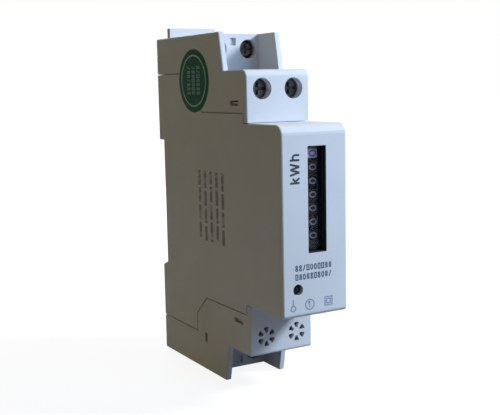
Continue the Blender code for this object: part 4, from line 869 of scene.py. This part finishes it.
@dataclass
class Counter:
    """The drum counter behind the window, with its pane, frame, gears, shafts and motor."""

    window: tuple[float, float, float, float] = (-1.9, 3.2, 37.54, 62.5)
    # lining and lining_inset size the black window lining, a sheet of painted shade
    lining: float = 0.13
    lining_inset: float = 0.04
    digit_high: float = 1.95
    digit_spread: float = 1.3
    digit_stroke: float = 0.38
    band_lift: float = 0.05
    band_wide: float = 2.1
    band_deep: float = 0.12
    edge: float = 0.18

    def dress(self) -> None:
        """Gives the counter's CAD pieces their finishes."""
        black = Moulding("frame_plastic", (0.018, 0.019, 0.024), (0.028, 0.030, 0.038), 0.5, 1800.0, 0.010,
                         specular=0.12)
        drum = Moulding("drum_plastic", (0.010, 0.014, 0.025), (0.020, 0.027, 0.045), 0.5, 2200.0, 0.005,
                        specular=0.08)
        # The first drum is pale; its near-white blue colour is partly painted light, for the light that falls
        # on it through the window.
        first = Moulding("first_drum_pale_painted_light", (0.62, 0.68, 0.97), (0.70, 0.76, 1.0), 0.36, 2200.0, 0.005)
        acetal = Moulding("gear_plastic", (0.62, 0.61, 0.56), (0.72, 0.71, 0.66), 0.34, 1800.0, 0.004,
                          translucent=0.3)
        steel = Metal("ground_steel", (0.56, 0.56, 0.57), (0.38, 0.37, 0.36), 0.22, (1.0, 1.0, 0.04))
        can = Metal("motor_can", (0.50, 0.50, 0.52), (0.34, 0.33, 0.32), 0.30, (0.05, 0.05, 1.0))
        pane = Clear("window_plastic", (0.76, 0.80, 0.88), 1.2, 1.0, 0.12)
        assign(black.make(), "register_frame")
        assign(drum.make(), *["digit_drum_%d" % k for k in range(2, 8)])
        assign(first.make(), "digit_drum_1")
        assign(acetal.make(), "drive_pinion", "motor_gear", *["transfer_pinion_%d" % k for k in range(1, 7)])
        assign(steel.make(), "drum_shaft", "pinion_shaft")
        assign(can.make(), "stepper_motor")
        assign(pane.make(), "window_pane")

    def line_window(self) -> None:
        """Puts a black lining into the window's opening, in front of the pane: painted shade, a dark sheet on
        the reveal walls, which lie in shade.

        The section, a thin rectangle in (inwards, depth), is carried round the opening's four
        corners: corner + inwards * t, at both depths, for t of 0 and the lining's thickness.
        """
        x0, x1, z0, z1 = self.window
        t = self.lining
        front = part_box("main_case")[0].y / MM + self.lining_inset
        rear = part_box("window_pane")[0].y / MM - self.lining_inset
        corners = np.array([(x0, z0), (x1, z0), (x1, z1), (x0, z1)])
        inwards = np.array([(1, 1), (-1, 1), (-1, -1), (1, -1)])
        gap = 0.01
        section = ((gap, front), (gap + t, front + t), (gap + t, rear), (gap, rear))
        rings = [np.concatenate([corners + inwards * u, np.full((4, 1), y)], axis=1) for u, y in section]
        grid = np.stack(rings)[..., [0, 2, 1]] * MM
        mould = Mould()
        mould.add(grid, wrap_rows=True)
        mould.piece("window_shade_lining", bpy.data.materials["frame_plastic"], "housing", 20.0)

    def band(self, node: str) -> tuple[float, float, float, float]:
        """A drum's axis (x, y), lower end and radius, read from its place in the frame."""
        low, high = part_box(node)
        return (low.x + high.x) / 2, (low.y + high.y) / 2, low.z, (high.x - low.x) / 2

    def build_drum(self, number: int, finish: Material, ink: Material) -> None:
        """Puts a smooth printed band round one drum.

        The band is a rounded rectangle in (radius, height) turned about the drum's axis. A
        digit's point (a, b) goes to the angle b / radius and the height a, so the digits read
        upwards and each takes a tenth of a turn.
        """
        body = "digit_drum_%d" % number
        x, y, base, radius = self.band(body)
        wide, e = self.band_wide, self.edge
        outer, inner = radius / MM + self.band_lift, radius / MM - self.band_deep
        profile = [(inner, 0.0), (outer - e, 0.0), (outer - 0.3 * e, 0.3 * e * 0.4), (outer, e * 0.8),
                   (outer, wide - e * 0.8), (outer - 0.3 * e, wide - 0.12 * e), (outer - e, wide),
                   (inner, wide)]
        mould = Mould()
        middle = np.array([x, y, base])
        mould.add(turned(profile, 120) * MM + middle, wrap_rows=True)
        mould.piece("drum_band_%d" % number, finish, body, 30.0)
        digits = Mould()
        stretch = np.array([self.digit_spread, 1.0])
        for value in range(10):
            width, paths = Strokes.word(str(value))
            for path in paths:
                flat = (path - np.array([width / 2, 0.5])) * stretch * self.digit_high
                grid = ribbon(flat, self.digit_stroke, 0.012)
                angle = -math.pi / 2 - math.radians(36.0 * value) - grid[..., 1] / outer
                reach = outer + grid[..., 2] + 0.002
                up = grid[..., 0] + wide / 2
                points = np.stack([reach * np.cos(angle), reach * np.sin(angle), up], axis=-1)
                digits.add(points * MM + middle)
        digits.piece("drum_digits_%d" % number, ink, body)

    def build(self) -> None:
        """Dresses the counter, lines its window with a black sheet of painted shade and prints the drums."""
        self.dress()
        self.line_window()
        # The digits are white; their dim grey ink is painted shade, for the shade they lie in behind the
        # pane, and it also softens their thin strokes.
        white = Ink("digit_ink", (0.30, 0.33, 0.41), (0.21, 0.23, 0.30), 0.45, 0.1).make()
        black = Ink("first_digit_ink", (0.11, 0.11, 0.17), (0.22, 0.22, 0.31), 0.45, 0.2).make()
        for number in range(1, 8):
            finish = bpy.data.materials["first_drum_pale_painted_light" if number == 1 else "drum_plastic"]
            self.build_drum(number, finish, black if number == 1 else white)


# Pulse lamp

@dataclass
class PulseLamp:
    """The pulse lamp: a smooth resin body with a domed tip and a flange."""

    radius: float = 1.15
    flange: float = 1.4
    flange_high: float = 0.6

    def build(self) -> None:
        """Turns the lens about its axis and stands it where the CAD lamp is.

        The dome is a quarter ellipse: (r cos t, h + r sin t), t from 0 to 90 degrees.
        """
        low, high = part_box("pulse_led")
        length = (high.y - low.y) / MM
        t = np.radians(np.linspace(0.0, 90.0, 14))
        dome = np.stack([self.radius * np.cos(t), length - self.radius + self.radius * np.sin(t)], axis=1)
        foot = [(0.0, 0.0), (self.flange, 0.0), (self.flange, self.flange_high),
                (self.radius, self.flange_high)]
        profile = np.concatenate([np.array(foot), dome])
        local = turned(profile.tolist(), 48)
        x, z = (low.x + high.x) / 2, (low.z + high.z) / 2
        points = np.stack([x + local[..., 0] * MM, high.y - local[..., 2] * MM,
                           z + local[..., 1] * MM], axis=-1)
        mould = Mould()
        mould.add(points)
        resin = Clear("lamp_resin", (0.006, 0.007, 0.018), 1.3, 0.15, 0.2).make()
        lens = mould.piece("lamp_lens", resin, "housing", 40.0)
        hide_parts("pulse_led")
        assign(resin, "pulse_led")


# Terminals and electronics

@dataclass
class Terminals:
    """Clamp cages, screws, contact blades, bars and the shunt."""

    def build(self) -> None:
        """Gives each metal piece its finish."""
        cage = Metal("plated_cage", (0.60, 0.60, 0.57), (0.42, 0.40, 0.35), 0.30, (1.0, 0.05, 1.0))
        # The screws' metal is painted dark: painted shade, for the shade deep in the terminal holes.
        screw = Metal("screw_metal_painted_shade", (0.115, 0.110, 0.106), (0.050, 0.046, 0.044), 0.5, (1.0, 0.06, 1.0))
        brass = Metal("stamped_brass", (0.66, 0.48, 0.20), (0.42, 0.28, 0.11), 0.30, (1.0, 1.0, 0.04))
        copper = Metal("stamped_copper", (0.70, 0.34, 0.20), (0.42, 0.20, 0.12), 0.30, (1.0, 1.0, 0.04))
        alloy = Metal("shunt_alloy", (0.42, 0.35, 0.30), (0.28, 0.22, 0.19), 0.34, (1.0, 1.0, 0.04))
        four = range(1, 5)
        assign(cage.make(), *["%s_clamp_%d" % (kind, k) for kind in ("power", "aux") for k in four])
        assign(screw.make(), *["%s_screw_%d" % (kind, k) for kind in ("power", "aux") for k in four])
        assign(brass.make(), *["aux_contact_%d" % k for k in four])
        assign(copper.make(), "line_bar_bottom", "line_bar_top", "neutral_link")
        assign(alloy.make(), "current_shunt")


@dataclass
class Electronics:
    """The main board and what stands on it."""

    def build(self) -> None:
        """Gives the board and its components their finishes."""
        assign(Circuit("solder_mask").make(), "main_board")
        low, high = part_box("electrolytic_capacitor")
        sleeve = Sleeve("capacitor_sleeve", ((low.x + high.x) / 2, (low.y + high.y) / 2), high.z)
        assign(sleeve.make(), "electrolytic_capacitor")
        film = Moulding("film_case", (0.62, 0.40, 0.05), (0.72, 0.50, 0.08), 0.28, 900.0, 0.006)
        dipped = Moulding("dipped_blue", (0.02, 0.07, 0.28), (0.04, 0.11, 0.38), 0.32, 700.0, 0.03)
        chip = Moulding("chip_body", (0.012, 0.012, 0.012), (0.022, 0.022, 0.023), 0.5, 3000.0, 0.01)
        tin = Metal("tin_can", (0.62, 0.62, 0.62), (0.46, 0.45, 0.43), 0.22, (1.0, 0.05, 1.0))
        assign(film.make(), "film_capacitor")
        assign(dipped.make(), "varistor")
        assign(chip.make(), "optocoupler", "metering_ic")
        assign(tin.make(), "crystal")


def assign(material: Material, *nodes: str) -> None:
    """Puts one material on CAD nodes, in place of what they were packed with."""
    for name in nodes:
        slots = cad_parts[name].data.materials
        slots.clear()
        slots.append(material)


# Stage

@dataclass(frozen=True)
class Lamp:
    """A round area lamp that lights a facing surface to level at the meter's middle.

    way points from the meter to the lamp, far and size are in metres, and at a level of 1 a
    colour shows as written.
    """

    name: str
    way: Triple
    far: float
    size: float
    level: float
    colour: Colour

    def hang(self) -> None:
        """Makes the lamp and turns it to the meter's middle."""
        data = bpy.data.lights.new(self.name, "AREA")
        data.shape, data.size = "DISK", self.size
        data.energy = self.level * math.pi ** 2 * self.far ** 2
        data.color = self.colour
        made = hang(self.name, data)
        direction = Vector(self.way).normalized()
        made.location = Vector((0.0, 0.0, 0.045)) + direction * self.far
        made.rotation_euler = direction.to_track_quat("Z", "Y").to_euler()


@dataclass
class Stage:
    """Camera, lamps, white surroundings and the floor."""

    azimuth: float = -29.782
    elevation: float = 7.735
    roll: float = -1.128
    shift: Pair = (-3.074, 0.784)
    distance: float = 238.495
    focal: float = 891.015
    target: Triple = (0.0, 3.25, 45.0)
    frame_width: float = 500.0
    lamps: tuple[Lamp, ...] = (
        Lamp("key_lamp", (0.70, -0.47, 0.54), 0.36, 0.085, 1.34, (0.90, 0.98, 1.10)),
        Lamp("fill_lamp", (0.28, -0.88, 0.46), 0.5, 0.3, 0.30, (0.24, 0.58, 1.0)),
        Lamp("back_lamp", (0.25, 0.93, 0.20), 0.45, 0.25, 0.75, (1.0, 0.99, 0.98)),
    )
    ambient: Colour = (0.200, 0.146, 0.045)
    floor_colour: Colour = (0.16, 0.18, 0.22)
    glow_near: float = 0.89
    glow_far: float = 1.05

    def camera(self) -> None:
        """Sets the camera from its angles, its shift in the picture plane and its focal length in pixels."""
        a, e, r = (math.radians(v) for v in (self.azimuth, self.elevation, self.roll))
        back = Vector((math.sin(a) * math.cos(e), -math.cos(a) * math.cos(e), math.sin(e)))
        right = (-back).cross(Vector((0, 0, 1))).normalized()
        up = right.cross(-back)
        side = right * math.cos(r) + up * math.sin(r)
        top = up * math.cos(r) - right * math.sin(r)
        place = Vector(self.target) + back * self.distance - side * self.shift[0] - top * self.shift[1]
        data = bpy.data.cameras.new("camera")
        data.sensor_fit = "HORIZONTAL"
        data.sensor_width = 36.0
        data.lens = self.focal / self.frame_width * data.sensor_width
        data.clip_start, data.clip_end = 0.01, 20.0
        made = hang("camera", data)
        turn = Matrix((side, top, back)).transposed().to_4x4()
        made.matrix_world = Matrix.Translation(place * MM) @ turn
        bpy.context.scene.camera = made

    def surroundings(self) -> None:
        """A dim even light on the object, and white where the camera, glass or gloss looks at it."""
        world = bpy.data.worlds.new("surroundings")
        w = blank(world)
        dim = w.node("Background", {"Color": self.ambient, "Strength": 1.0})
        white = w.node("Background", {"Color": (1.0, 1.0, 1.0), "Strength": 1.0})
        both = w.node("MixShader", {0: w.seen(), 1: dim.outputs[0], 2: white.outputs[0]})
        w.node("OutputWorld", {"Surface": both.outputs[0]})
        bpy.context.scene.world = world

    def floor(self) -> None:
        """A round floor, white to the camera, that reflects little and keeps the meter's shadow."""
        material = bpy.data.materials.new("floor_paper")
        w = blank(material)
        paper = w.node("BsdfDiffuse", {"Color": self.floor_colour})
        radius = w.node("VectorMath", {0: w.place()}, operation="LENGTH").outputs["Value"]
        level = w.ramp(radius, 0.07, 0.28, self.glow_near, self.glow_far)
        shown = w.math("MULTIPLY", w.seen(), level)
        glow = w.node("Emission", {"Color": (1.0, 1.0, 1.0), "Strength": shown})
        both = w.node("AddShader", {0: paper.outputs[0], 1: glow.outputs[0]})
        w.node("OutputMaterial", {"Surface": both.outputs[0]})
        radii = np.array([0.0, 0.05, 0.15, 0.5, 1.5, 4.0])
        a = np.linspace(0.0, 2 * np.pi, 64, endpoint=False)
        grid = np.stack([radii[:, None] * np.cos(a), radii[:, None] * np.sin(a),
                         np.full((len(radii), len(a)), -0.0002)], axis=2)
        mould = Mould()
        mould.add(grid)
        hang("floor", mould.mesh("floor", material))

    def build(self) -> None:
        """Sets the view transform, camera, lamps, surroundings and floor."""
        bpy.context.scene.view_settings.view_transform = "Standard"
        self.camera()
        for lamp in self.lamps:
            lamp.hang()
        self.surroundings()
        self.floor()


def main() -> None:
    """Builds the stage and every sub-assembly."""
    logging.basicConfig(level=logging.INFO, format="%(name)s: %(message)s")
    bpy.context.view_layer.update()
    build_effects()
    for part in (Stage(), Housing(), Counter(), PulseLamp(), Terminals(), Electronics()):
        part.build()
        LOG.info("%s built", type(part).__name__)


if __name__ == "__main__":
    main()
